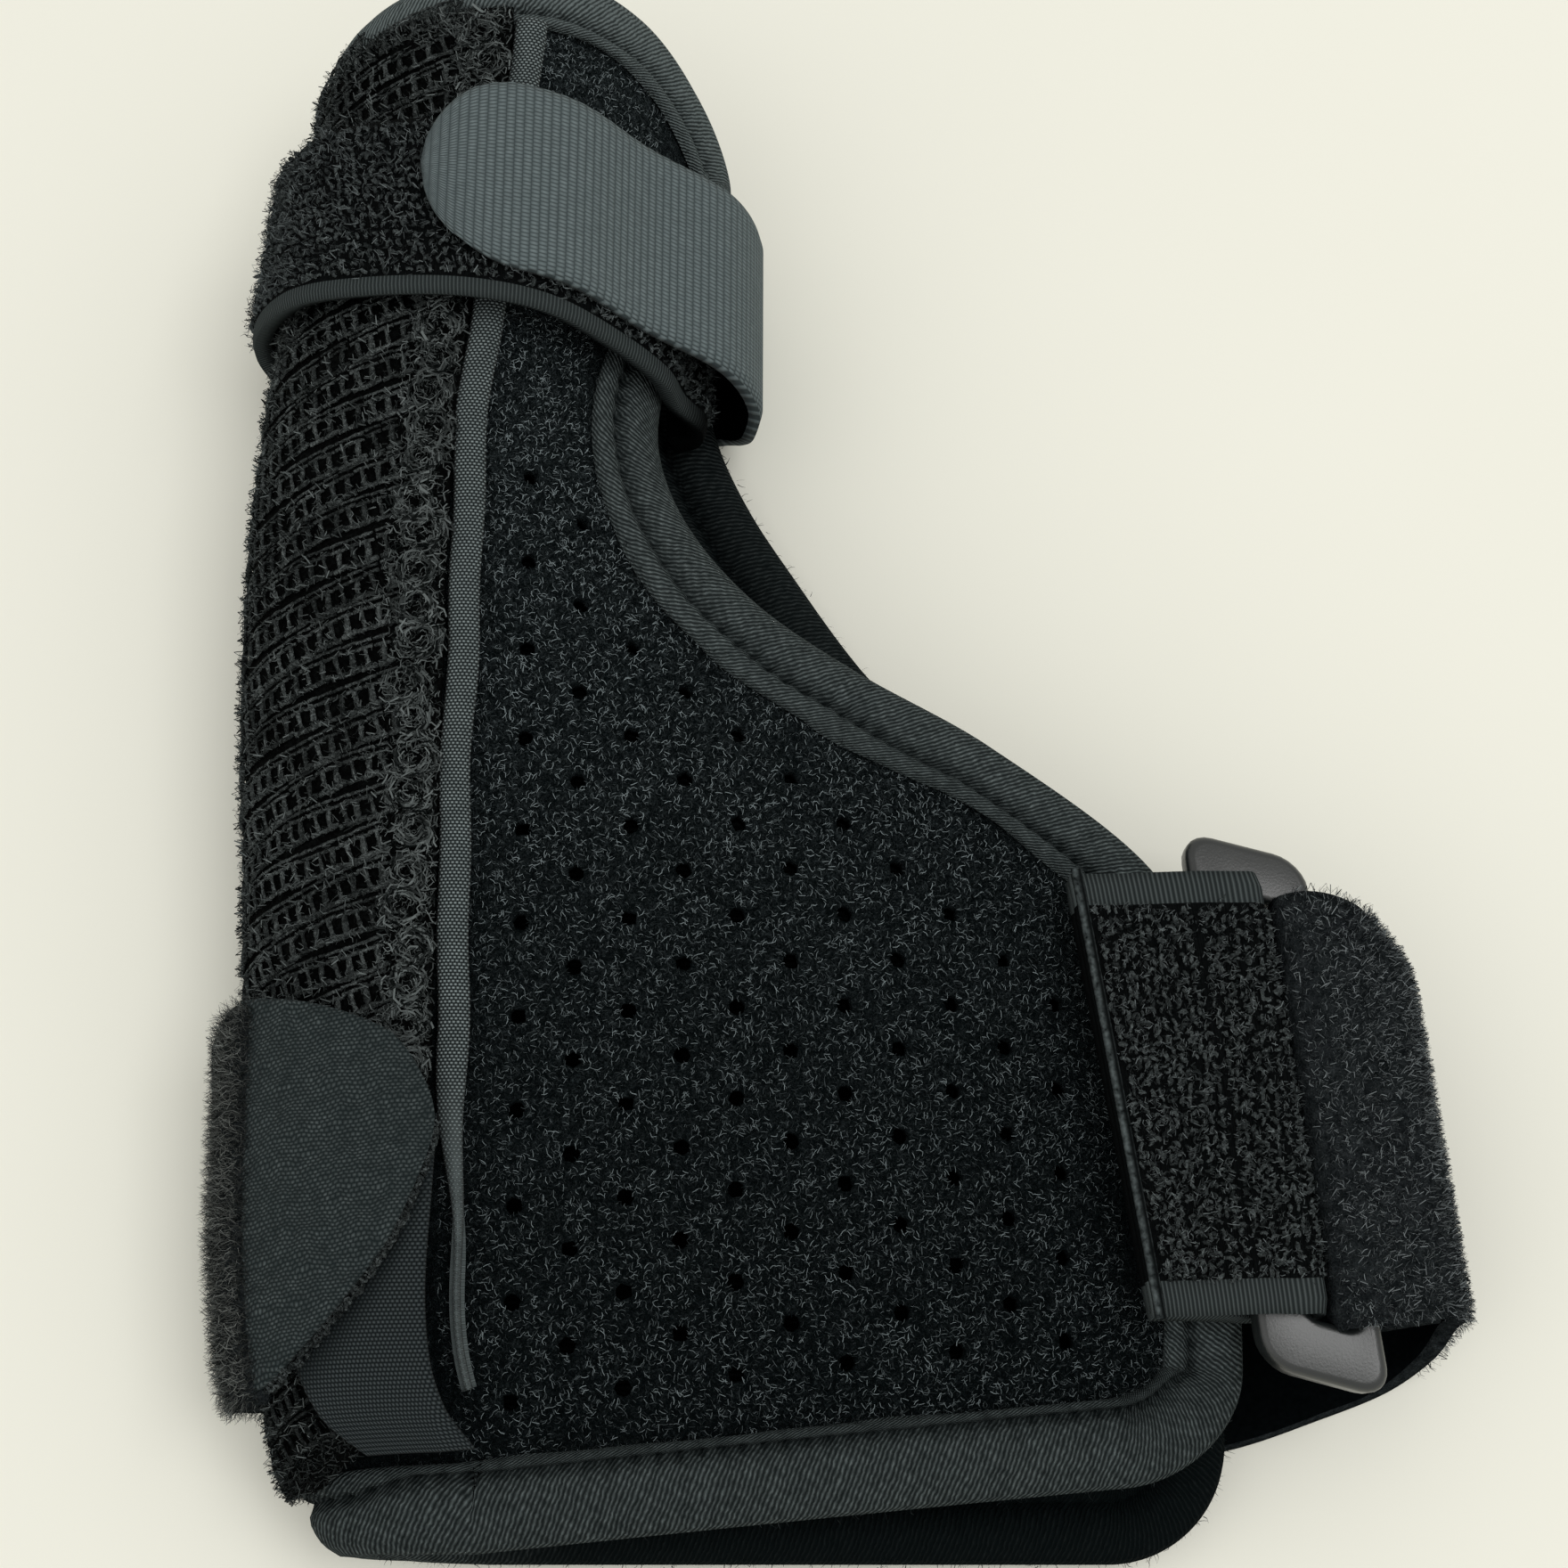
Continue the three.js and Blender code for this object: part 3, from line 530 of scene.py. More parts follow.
def by_seam(kind, reach):
    """How near a place on the tape is to its sewing line, from 0 to 1."""
    return 0.0 if kind == "rim" else math.exp(-((reach - SEAM_REACH) ** 2) / 0.4)


def pucker(run):
    """How deep the tape is drawn in at each stitch of the sewing line, from 0 to 1."""
    place = run / BINDING["stitch"] + 0.16 * np.sin(run / 9.1) + 0.1 * np.sin(run / 3.7)
    return np.maximum(0, np.cos(2 * np.pi * place)) ** 0.8 * (0.75 + 0.25 * np.sin(run / 6.3))


def tone_by(piece, values):
    tone = piece.data.attributes.new("shade", "FLOAT", "POINT")
    tone.data.foreach_set("value", np.asarray(values, np.float32))


def flat_places(piece, width, length):
    flat = np.empty(len(piece.data.vertices) * 3)
    piece.data.attributes["weave"].data.foreach_get("vector", flat)
    return flat[0::3] / width, flat[1::3] / length


binding = cloth(
    "edge_binding_tape", len(BINDING_SECTION) - 1, BINDING["steps"], binding_place,
    BINDING["width"], BINDING["length"],
)
tape_s, tape_t = flat_places(binding, BINDING["width"], BINDING["length"])
tape_column = np.round(tape_s * (len(BINDING_SECTION) - 1)).astype(int)
tape_k = np.round(tape_t * BINDING["steps"]).astype(int)
in_seam = np.array([by_seam(kind, reach) for kind, reach, _ in BINDING_SECTION])[tape_column]
# The tape is darker along the back leaf, less so in the crook, and darker towards the wrist end. Painted
# light: it is drawn lighter towards the thumb end.
in_crook = smooth(edge_y[tape_k] / 15) * smooth((55 - edge_y[tape_k]) / 8)
lit = 1 - (0.94 - 0.17 * in_crook) * smooth((edge_u[tape_k] - 1.75) / 0.4)
lit *= 1.0 + 1.25 * smooth((edge_y[tape_k] - 30) / 50) - 0.27 * smooth((-70 - edge_y[tape_k]) / 12)
# Painted shade: the tape is drawn darker in the pits where each stitch draws it in.
tone_by(binding, lit * (1 - in_seam * (0.5 + 0.5 * pucker(edge_run[tape_k]))))
bm = bmesh.new()
bm.from_mesh(binding.data)
bmesh.ops.remove_doubles(bm, verts=bm.verts, dist=0.02 * MM)
bm.to_mesh(binding.data)
bm.free()
twill = Finish("binding_twill", 0.8, specular=0.01)
tape_across, tape_along = twill.weave()
twill_slant = twill.scaled(tape_across, 0.55, tape_along)
twill_slant = twill.scaled(twill.noise(3.0), 0.5, twill_slant)
twill_slant = twill.scaled(twill.noise(0.7), 0.35, twill_slant)
twill_lines = twill.waves(twill_slant, 0.54)
twill_steps = twill.waves(twill.sum("SUBTRACT", tape_across, twill.times(tape_along, 0.7)), 1.15)
twill_relief = twill.times(twill_lines, twill.scaled(twill_steps, 0.45, 0.55))
twill_wear = twill.scaled(twill.noise(1.1, 5.0), 1.3, 0.15)
twill_tone = twill.times(twill.scaled(twill_relief, 0.95, 0.1), twill_wear)
# The shade attribute carries the tape's darker back, its painted light and the painted shade of its stitch
# pits.
twill_tone = twill.times(twill_tone, twill.shade())
twill.paint(twill.mix(twill_tone, (0.002, 0.0034, 0.0037), (0.118, 0.142, 0.144)), twill_relief, 0.25)
binding.data.materials.append(twill.material)
fix(binding, "edge_binding")

# Fuzz along the binding: ends of the laminate's fibres, which work out under the tape's front lip
# and at the rim.
FUZZ = {"count": 5600, "length": (0.35, 1.1), "at_lip": 0.6}
LIP_REACH = BINDING_SECTION[0][1]
fuzz_k = draw.integers(0, BINDING["steps"], FUZZ["count"])
fuzz_lip = draw.uniform(0, 1, FUZZ["count"]) < FUZZ["at_lip"]
fuzz_at = np.where(
    fuzz_lip[:, None],
    beside_edge("lip", front_reach(LIP_REACH, fuzz_k), 0.3, fuzz_k),
    beside_edge("rim", 1.3, -2.2, fuzz_k),
) + draw.normal(0, 0.35, (FUZZ["count"], 3))
fuzz_out = np.where(fuzz_lip[:, None], edge_normal[fuzz_k] - 0.6 * edge_away[fuzz_k], edge_away[fuzz_k])
fuzz_out = unit(fuzz_out + draw.normal(0, 0.45, (FUZZ["count"], 3)))
fuzz_length = draw.uniform(*FUZZ["length"], FUZZ["count"])
binding_fuzz = strew(
    "binding_fuzz",
    [fibre(0.1, 1.3, True, 0.12), fibre(0.2, 1.0, True, 0.12), fibre(-0.15, 1.7, True, 0.12)],
    fuzz_at,
    frames_on(fuzz_out, edge_travel[fuzz_k] + draw.normal(0, 0.5, (FUZZ["count"], 3))),
    fuzz_length,
    draw.uniform(0, 1, FUZZ["count"]) ** 2,
    fibre_finish("fuzz_fibre", (0.005, 0.007, 0.0075), (0.045, 0.054, 0.056)),
)
fix(binding_fuzz)

# Stay pocket: dark knitted ground cloth over the fold, from the seam tape round to the back. It
# carries the ladder ribs and is sewn down along both long edges and over the binding at both ends.
POCKET = {"wrist": -82.3, "thumb": 82.0, "front": 1.0, "back": 1.75, "lift": 2.0}
POCKET.update(width=43.0, length=POCKET["thumb"] - POCKET["wrist"], columns=44, rows=170, edge=1.5)
arc_u = np.linspace(1.0, 2.0, 200)
arc_run = run_along(outer_face(arc_u, 0 * arc_u))


def pocket_end(u):
    """Where the pocket ends at the wrist: short of the binding in front, on it round the fold."""
    return POCKET["wrist"] + 3.8 * smooth((1.32 - u) / 0.2)


def pocket_lift(y):
    """Height of the ground cloth over the body: it climbs onto the binding at both ends."""
    on_binding = smooth((y - 74) / 6) + smooth((-76 - y) / 4)
    return POCKET["lift"] + 0.5 * on_binding - 0.4 * smooth((y - 80) / 2)


def turn_down(piece, depth):
    """Turns a sheet's free edges down, so that it shows its thickness."""
    bm = bmesh.new()
    bm.from_mesh(piece.data)
    rim = [edge for edge in bm.edges if edge.is_boundary]
    normals = {vert: vert.normal.copy() for edge in rim for vert in edge.verts}
    made = bmesh.ops.extrude_edge_only(bm, edges=rim)["geom"]
    for vert in made:
        if isinstance(vert, bmesh.types.BMVert):
            for edge in vert.link_edges:
                source = edge.other_vert(vert)
                if source in normals:
                    vert.co = source.co - normals[source] * depth * MM
    bmesh.ops.recalc_face_normals(bm, faces=bm.faces)
    bm.to_mesh(piece.data)
    bm.free()
    piece.data.shade_smooth()


def pocket_place(s, t):
    u = POCKET["back"] + (POCKET["front"] - POCKET["back"]) * s
    y = pocket_end(u) + (POCKET["thumb"] - pocket_end(u)) * t
    ripple = 0.12 * np.sin(y / 1.7 + u * 9) + 0.1 * np.sin(u * 31 - y / 2.3)
    return over_face(u, y, pocket_lift(y) + ripple)


pocket = cloth(
    "ribbed_pocket", POCKET["columns"], POCKET["rows"], pocket_place, POCKET["width"], POCKET["length"]
)
turn_down(pocket, POCKET["edge"])
ground = Finish("ribbed_ground", 0.95)
ground_lines = ground.times(ground.curls(0.8, 8.0), ground.noise(0.3, 3.0))
ground.paint(ground.mix(ground_lines, (0.0005, 0.0006, 0.0006), (0.006, 0.007, 0.007)), ground_lines, 0.3)
pocket.data.materials.append(ground.material)
fix(pocket, "stay_pocket")

# Ladder ribs of the pocket: bands of two yarn rails with tufted rungs between them, and a thin
# strand in each groove. They slope down towards the back and leave square dark gaps.
LADDER = {"pitch": 4.1, "rung": 1.65, "skew": 0.27, "start": 4.6, "end": 42.5, "first": 1.5}
RAIL = {"upper": 0.3, "lower": -0.27, "reach": 0.56}


def ladder_cell(lean, swell):
    """One cell of the ladder, a rung wide and a band high: rolled grids along its four yarns."""
    shape = bmesh.new()
    upper, lower, reach = RAIL["upper"], RAIL["lower"], RAIL["reach"]
    yarns = (
        ((-reach, upper), (reach, upper + 0.04 * lean), 0.055, 3, 0.28),
        ((-reach, lower), (reach, lower - 0.05 * lean), 0.078 * swell, 3, 0.32),
        ((0.12 * lean, -0.24), (-0.1 * lean, 0.29), 0.092 * swell, 3, 0.28),
        ((-reach, 0.505), (reach, 0.51), 0.05, 2, 0.14),
    )
    for (x0, y0), (x1, y1), thick, steps, high in yarns:
        made = bmesh.ops.create_grid(shape, x_segments=4, y_segments=steps, size=0.5)["verts"]
        for vert in made:
            around, t = 2 * math.pi * vert.co.x, vert.co.y + 0.5
            full = thick * (1 + 0.25 * math.sin(7 * t + 3 * lean))
            side = full * math.cos(around)
            tall = high + 2.6 * full * math.sin(around) + 0.1 * math.sin(math.pi * t)
            if abs(x1 - x0) > abs(y1 - y0):
                vert.co = (x0 + (x1 - x0) * t, y0 + (y1 - y0) * t + side, tall)
            else:
                vert.co = (x0 + (x1 - x0) * t + 2 * side, y0 + (y1 - y0) * t, tall)
        bmesh.ops.remove_doubles(shape, verts=made, dist=1e-4)
    return shape


def on_ladder(run, y):
    """Places and turned axes on the pocket: the first axis follows the ribs round the fold."""
    u = np.interp(run, arc_run, arc_u)
    ahead = over_face(np.interp(run + 0.2, arc_run, arc_u), y - 0.2 * LADDER["skew"], pocket_lift(y))
    behind = over_face(np.interp(run - 0.2, arc_run, arc_u), y + 0.2 * LADDER["skew"], pocket_lift(y))
    normal = face_normal(u, y)
    return over_face(u, y, pocket_lift(y)), frames_on(normal, behind - ahead)


rib_bands = np.arange(math.ceil((POCKET["thumb"] + 11 - POCKET["wrist"]) / LADDER["pitch"]))
rib_rungs = np.arange(LADDER["start"], LADDER["end"], LADDER["rung"])
rib_band, rib_run = (grid.ravel() for grid in np.meshgrid(rib_bands, rib_rungs))
rib_run = rib_run + LADDER["rung"] * ((0.37 * rib_band) % 1) + draw.normal(0, 0.08, rib_run.shape)
rib_y = POCKET["wrist"] + LADDER["first"] + rib_band * LADDER["pitch"] - LADDER["skew"] * rib_run
rib_y = rib_y + 0.35 * np.sin(rib_run / 4.1 + rib_band * 1.7) * smooth(rib_run / 10)
rib_kept = (rib_y < POCKET["thumb"] + 0.3) & (rib_run < LADDER["end"])
rib_kept &= rib_y > pocket_end(np.interp(rib_run, arc_run, arc_u)) + 1.5
rib_run, rib_y = rib_run[rib_kept], rib_y[rib_kept]
rib_at, rib_frames = on_ladder(rib_run, rib_y)
rib_count = len(rib_run)


def loop_finish(name, dark, light, floor=0.25):
    finish = Finish(name, 0.95, specular=0.0)
    strand = finish.curls(0.45, 5.0)
    tone = finish.scaled(strand, 1 - floor, floor)
    tone = finish.times(finish.shade(), tone)
    return finish.paint(finish.mix(tone, dark, light), strand, 0.2)


rib_yarn = loop_finish("rib_yarn", (0.001, 0.0014, 0.0014), (0.138, 0.157, 0.157), floor=0.1)
rib_size = np.full((rib_count, 3), (LADDER["rung"], LADDER["pitch"], 1.0))
rib_size[:, 2] = draw.uniform(0.9, 1.25, rib_count)
pocket_ribs = strew(
    "pocket_ribs",
    [ladder_cell(0.6, 1.0), ladder_cell(-0.5, 1.2), ladder_cell(0.1, 0.85), ladder_cell(-0.9, 1.05)],
    rib_at,
    rib_frames,
    rib_size,
    # Painted shadow: ribs near the wrist end, under the wrist tab, are drawn darker.
    draw.uniform(0.3, 1, rib_count) * (0.35 + 0.65 * smooth((rib_y + 76) / 10)),
    rib_yarn,
)
fix(pocket_ribs)

# Roundels of the pocket: curled fibres that close the end of every rib beside the seam tape, with
# loose fibres between them and the tape.
ROUNDEL = {"fibres": 110, "radius": 2.2, "run": 2.7, "between": 5200}
roundel_band = np.repeat(rib_bands, ROUNDEL["fibres"])
roundel_count = len(roundel_band)
ring_radius = ROUNDEL["radius"] * np.sqrt(draw.uniform(0.03, 1, roundel_count))
ring_angle = draw.uniform(0, 2 * np.pi, roundel_count)
middle_run = ROUNDEL["run"] + 0.55 * np.sin(roundel_band * 2.3) + 0.3 * np.sin(roundel_band * 5.1)
middle_y = POCKET["wrist"] + LADDER["first"] + roundel_band * LADDER["pitch"] - LADDER["skew"] * middle_run
curl_run = middle_run + ring_radius * np.cos(ring_angle) * (1 + 0.2 * np.sin(roundel_band * 1.9))
curl_y = middle_y + ring_radius * np.sin(ring_angle) + 0.4 * np.sin(roundel_band * 3.7)
curl_run = np.concatenate([curl_run, draw.uniform(-0.2, 6.0, ROUNDEL["between"])])
curl_y = np.concatenate([curl_y, draw.uniform(POCKET["wrist"], POCKET["thumb"], ROUNDEL["between"])])
ring_radius = np.concatenate([ring_radius, draw.uniform(0.4, 1.1, ROUNDEL["between"])])
ring_angle = np.concatenate([ring_angle, draw.uniform(0, 2 * np.pi, ROUNDEL["between"])])
kept = (curl_run > -0.3) & (curl_y > pocket_end(1.0) + 0.5) & (curl_y < POCKET["thumb"] - 0.5)
curl_run, curl_y = curl_run[kept], curl_y[kept]
ring_radius, ring_angle = ring_radius[kept], ring_angle[kept]
curl_count = len(curl_run)
curl_at, curl_frames = on_ladder(curl_run, curl_y)
tangent = curl_frames[:, :, 0] * np.sin(ring_angle)[:, None]
tangent += curl_frames[:, :, 1] * np.cos(ring_angle)[:, None]
tangent += draw.normal(0, 0.33, (curl_count, 3))
dome = 0.6 - 0.1 * ring_radius**2 + draw.normal(0, 0.14, curl_count)
curl_length = np.clip(1.25 * ring_radius, 0.6, 1.9) * draw.uniform(0.6, 1.2, curl_count)
pocket_curls = strew(
    "pocket_curls",
    [fibre(0.2, 1, width=0.11), fibre(0.3, 1.2), fibre(0.16, 1.6, width=0.14), fibre(0.3, 1, width=0.1)],
    curl_at + curl_frames[:, :, 2] * dome[:, None],
    frames_on(unit(curl_frames[:, :, 2] + draw.normal(0, 0.25, (curl_count, 3))), tangent),
    np.stack([curl_length, curl_length, draw.uniform(0.1, 0.4, curl_count)], -1),
    draw.uniform(0, 1, curl_count) ** 2,
    fibre_finish("curl_fibre", (0.002, 0.0028, 0.0028), (0.129, 0.147, 0.147)),
)
fix(pocket_curls)

# Fuzz of the pocket: brushed fibres of the yarn, which lie and stand on its rails and rungs and
# fringe its two cut ends.
POCKET_FUZZ = {"ribs": 15000, "ends": 3000, "length": (0.4, 1.0), "end_depth": (-0.3, 3.2)}
on_ribs, on_ends = POCKET_FUZZ["ribs"], POCKET_FUZZ["ends"]
fuzz_cell = draw.integers(0, rib_count, on_ribs)
fuzz_kind = draw.uniform(0, 1, on_ribs)
on_rails, on_upper_rail = fuzz_kind < 0.7, fuzz_kind < 0.25
fuzz_x = np.where(on_rails, draw.uniform(-0.5, 0.5, on_ribs), draw.normal(0, 0.13, on_ribs))
fuzz_y = np.select(
    [on_upper_rail, on_rails],
    [RAIL["upper"] + draw.normal(0, 0.04, on_ribs), RAIL["lower"] + draw.normal(0, 0.06, on_ribs)],
    draw.uniform(RAIL["lower"], RAIL["upper"], on_ribs),
)
fuzz_frame = rib_frames[fuzz_cell]
fuzz_spot = np.stack([fuzz_x * LADDER["rung"], fuzz_y * LADDER["pitch"], 0 * fuzz_x + 0.5], -1)
fuzz_at = rib_at[fuzz_cell] + np.einsum("nij,nj->ni", fuzz_frame, fuzz_spot)
end_run = draw.uniform(4, LADDER["end"], on_ends)
end_depth = draw.uniform(*POCKET_FUZZ["end_depth"], on_ends)
at_thumb = np.arange(on_ends) % 2 == 1
at_wrist_y = pocket_end(np.interp(end_run, arc_run, arc_u)) + end_depth
end_y = np.where(at_thumb, POCKET["thumb"] - end_depth, at_wrist_y)
end_at, end_frame = on_ladder(end_run, end_y)
fuzz_at = np.concatenate([fuzz_at, end_at])
fuzz_count = len(fuzz_at)
fuzz_normal = np.concatenate([fuzz_frame[:, :, 2], end_frame[:, :, 2]])
fuzz_normal = unit(fuzz_normal + draw.normal(0, 0.6, (fuzz_count, 3)))
fuzz_length = draw.uniform(*POCKET_FUZZ["length"], fuzz_count)
fuzz_shade = draw.uniform(0, 1, fuzz_count) ** 1.6
# Painted shade: the fibres at the cut ends are drawn darker, most at the wrist end under the wrist tab.
fuzz_shade[on_ribs:] *= np.where(at_thumb, 0.75, 0.35)
pocket_fuzz = strew(
    "pocket_fuzz",
    [fibre(0.2, 1.3, True, 0.13), fibre(0.25, 1.0, False, 0.13), fibre(-0.2, 1.7, False, 0.13)],
    fuzz_at,
    frames_on(fuzz_normal, draw.normal(0, 1, (fuzz_count, 3))),
    fuzz_length,
    fuzz_shade,
    fibre_finish("rib_fibre", (0.002, 0.0028, 0.0028), (0.133, 0.152, 0.152)),
)
fix(pocket_fuzz)

# Seam tape: narrow grey basket-weave tape sewn along the pocket's front edge; near the wrist it
# leans off the fold and turns on edge.
SEAM_TAPE = {
    "wrist": -73.5, "thumb": 80.5, "width": 3.4, "thick": 1.8, "edge": 1.2, "columns": 10, "rows": 260,
}
SEAM_TAPE["length"] = SEAM_TAPE["thumb"] - SEAM_TAPE["wrist"]
SEAM_TAPE_END = {"width": 0.8, "thick": 2.8, "lean": 3.0}


def seam_tape_place(s, t):
    y = SEAM_TAPE["wrist"] + SEAM_TAPE["length"] * t
    width, end = seam_tape_width(y)
    thick = SEAM_TAPE["thick"] + (SEAM_TAPE_END["thick"] - SEAM_TAPE["thick"]) * end
    crown = 1 - 0.3 * (2 * s - 1) ** 4 - 0.12 * np.abs(2 * s - 1)
    sway = 0.22 * np.sin(y / 7.5) + 0.16 * np.sin(y / 3.1 + 1)
    off_peak = 0.3 + SEAM_TAPE_END["lean"] * end + width * s + sway
    span = section("front", y) - section("peak", y)
    ripple = 0.12 * np.sin(y / 4.3) + 0.3 * smooth((y - 75) / 5)
    return over_face(1 - off_peak / span, y, 0.3 + thick * crown + ripple)


def seam_tape_width(y):
    """The tape's width, and how far it has turned on edge, from 0 to 1."""
    end = smooth((-38 - y) / 24)
    return SEAM_TAPE["width"] + (SEAM_TAPE_END["width"] - SEAM_TAPE["width"]) * end, end


seam_tape = cloth(
    "seam_tape_grey", SEAM_TAPE["columns"], SEAM_TAPE["rows"], seam_tape_place, 1, SEAM_TAPE["length"]
)
tape_s, tape_t = flat_places(seam_tape, 1, 1)
tape_wide, tape_end = seam_tape_width(SEAM_TAPE["wrist"] + tape_t)
# Painted shade: the tape is drawn darker where it turns on edge near the wrist and faces away from the
# light.
tone_by(seam_tape, 1 - 0.6 * tape_end)
seam_weave = np.stack([(tape_s - 0.5) * tape_wide + 5, tape_t, 0 * tape_t], -1)
seam_tape.data.attributes["weave"].data.foreach_set("vector", seam_weave.ravel())
turn_down(seam_tape, SEAM_TAPE["edge"])
basket = Finish("grey_tape", 0.75, sheen=0.03)
basket_cells = basket.stitches(*basket.weave(), 0.46, 0.36, 1.7)
basket_painted_shade = basket.shade()
# Where the painted shade is deep, the cells fade to an even tone.
basket_even = basket.sum("MAXIMUM", basket_cells, basket.scaled(basket_painted_shade, -1.0, 1.0))
basket_cloud = basket.scaled(basket.noise(1.6, 3.0), 0.8, 0.55)
basket_tone = basket.times(basket.times(basket_even, basket_cloud), basket_painted_shade)
basket.paint(basket.mix(basket_tone, (0.003, 0.005, 0.0055), (0.265, 0.315, 0.32)), basket_cells, 0.16)
seam_tape.data.materials.append(basket.material)
fix(seam_tape, "seam_tape")

# Hem tape: wide knitted tape sewn over the wrist end of the pocket; it flares onto the binding,
# and its other end goes under the wrist tab.
HEM = {"width": 14.0, "length": 33.0, "thick": 0.9, "lift": 4.25, "columns": 24, "rows": 60}
HEM_SIDE = "y right left".split()
HEM_SIDES = np.array([
    [-79, 0.962, 1.13],
    [-75, 0.985, 1.2],
    [-66, 0.995, 1.25],
    [-54, 0.99, 1.27],
    [-46, 0.985, 1.25],
])


def hem_tape_at(s, t):
    y = HEM_SIDES[0, 0] + HEM["length"] * t
    right, left = (blend_rows(HEM_SIDES, HEM_SIDE.index(side), y) for side in ("right", "left"))
    return left + (right - left) * s, y


def hem_tape_place(s, t):
    cup = 0.25 * (2 * s - 1) ** 2 - 0.12 * np.cos(6 * t) * (2 * s - 1)
    return over_face(*hem_tape_at(s, t), HEM["lift"] + cup)


hem_tape = cloth("hem_tape_grey", HEM["columns"], HEM["rows"], hem_tape_place, HEM["width"], HEM["length"])
thicken(hem_tape, HEM["thick"])
hem = Finish("hem_tape_knit", 0.8, sheen=0.02)
hem_across, hem_along = hem.weave()
hem_cells = hem.stitches(hem_across, hem_along, 0.42, 0.4, 1.2)
# The shade attribute, set with the wrist tab below, carries a painted shadow of the tab.
hem_tone = hem.times(hem_cells, hem.shade())
hem.paint(hem.mix(hem_tone, (0.004, 0.006, 0.0067), (0.056, 0.068, 0.0715)), hem_cells, 0.16)
hem_tape.data.materials.append(hem.material)
fix(hem_tape, "hem_tape")

# Thumb band: looped webbing sewn at the front edge, carried over the fold and under the tube.
# One selvage is plain and ribbed; the rest of its face is rows of terry loops.
THUMB = {
    "x": -31.0, "y": 56.0, "station": 50.0, "slant": -0.18, "level": 12.0,
    "bow": 1.6, "bow_at": -26.0, "bow_wide": 15.0,
}
BAND = {
    "width": 22.5, "thick": 2.0, "over": 4.8, "columns": 24, "steps": 150,
    "selvage": 2.0, "shift": -4.0, "shaded_start": 8.0,
}


def on_thumb(x, z):
    raised = smooth(z / THUMB["level"])
    bow = THUMB["bow"] * math.exp(-(((x - THUMB["bow_at"]) / THUMB["bow_wide"]) ** 2))
    return np.array([x, THUMB["y"] + raised * (THUMB["slant"] * (x - THUMB["x"]) + bow), z])


def round_thumb(u, height):
    x, _, z = over_face(np.array(u), np.array(THUMB["station"]), np.array(height))
    return on_thumb(x, z)


def smooth_route(points, steps):
    """Even places along a smooth curve through the points, and its length."""
    points = np.asarray(points, float)
    ends = np.vstack([2 * points[0] - points[1], points, 2 * points[-1] - points[-2]])
    t = np.linspace(0, 1, 24, endpoint=False)[:, None]
    dense = []
    for a, b, c, d in zip(ends, ends[1:], ends[2:], ends[3:]):
        ab, bc, cd = (max(np.linalg.norm(q - p) ** 0.5, 1e-4) for p, q in ((a, b), (b, c), (c, d)))
        leave = ((b - a) / ab - (c - a) / (ab + bc) + (c - b) / bc) * bc
        arrive = ((c - b) / bc - (d - b) / (bc + cd) + (d - c) / cd) * bc
        square = 3 * (c - b) - 2 * leave - arrive
        cube = 2 * (b - c) + leave + arrive
        dense.append(b + leave * t + square * t**2 + cube * t**3)
    dense = np.vstack(dense + [points[-1:]])
    run = run_along(dense)
    even = np.linspace(0, run[-1], steps + 1)
    return np.stack([np.interp(even, run, dense[:, k]) for k in range(3)], -1), run[-1]


class Strap:
    """A strap along a route: its middle line, the way of its width, and its outer side."""

    def __init__(self, route, steps, across, outward, settle=lambda place: place):
        self.middle, self.length = smooth_route(route, steps)
        self.steps, self.settle = steps, settle
        self.across = np.broadcast_to(across(self.middle), self.middle.shape)
        ahead = np.vstack([self.middle[1:], self.middle[-1:]])
        behind = np.vstack([self.middle[:1], self.middle[:-1]])
        self.normal = unit(np.cross(unit(ahead - behind), self.across)) * outward

    def at(self, offset, t, height):
        """Places at an offset across the strap and a height over its middle line."""
        k = np.clip(t * self.steps, 0, self.steps)
        low = np.minimum(np.floor(k).astype(int), self.steps - 1)
        part = (k - low)[:, None]
        lines = (self.middle, self.across, self.normal)
        middle, across, normal = (line[low] * (1 - part) + line[low + 1] * part for line in lines)
        height = np.broadcast_to(height, t.shape)
        place = self.settle(middle + across * np.asarray(offset)[:, None] + normal * height[:, None])
        place[:, 2] = np.maximum(place[:, 2], 0)
        return place

    def normal_at(self, t):
        return self.normal[np.clip(np.round(t * self.steps), 0, self.steps).astype(int)]


def settle_on_fold(fold_x):
    """A rule that keeps a strap's whole width on the fold, which fold_x gives at its middle."""
    def settle(place):
        place = place.copy()
        place[:, 0] += (section("left", place[:, 1]) - fold_x) * smooth((-38 - place[:, 0]) / 12)
        return place

    return settle


def along_thumb(middle):
    return np.array([0.0, 1.0, 0.0])


def near_sides(s, start):
    """How near a place is to either side of a strap: 0 as far out as start, 1 at the very side."""
    return np.clip((np.abs(2 * s - 1) - start) / (1 - start), 0, 1)


band_route = [on_thumb(x, z) for x, z in ((-13.5, 11.5), (-10.6, 14.5), (-10.2, 18.5), (-12.4, 22.3))]
band_route += [round_thumb(0.2, BAND["over"]), round_thumb(0.45, BAND["over"] - 0.2)]
band_route += [round_thumb(u, BAND["over"]) for u in (0.7, 1, 1.15, 1.3, 1.5, 1.68)]
band_route += [on_thumb(-49.5, 2.3)] + [on_thumb(x, 1.0) for x in (-43, -36, -27, -17)]
band_route = [place + np.array([0, BAND["shift"], 0]) for place in band_route]
settle_band = settle_on_fold(section("left", THUMB["station"]))
band_strap = Strap(band_route, BAND["steps"], along_thumb, -1, settle_band)


def band_place(s, t):
    return band_strap.at((s - 0.5) * BAND["width"], t, BAND["thick"] / 2 - 0.5 * near_sides(s, 0.9))


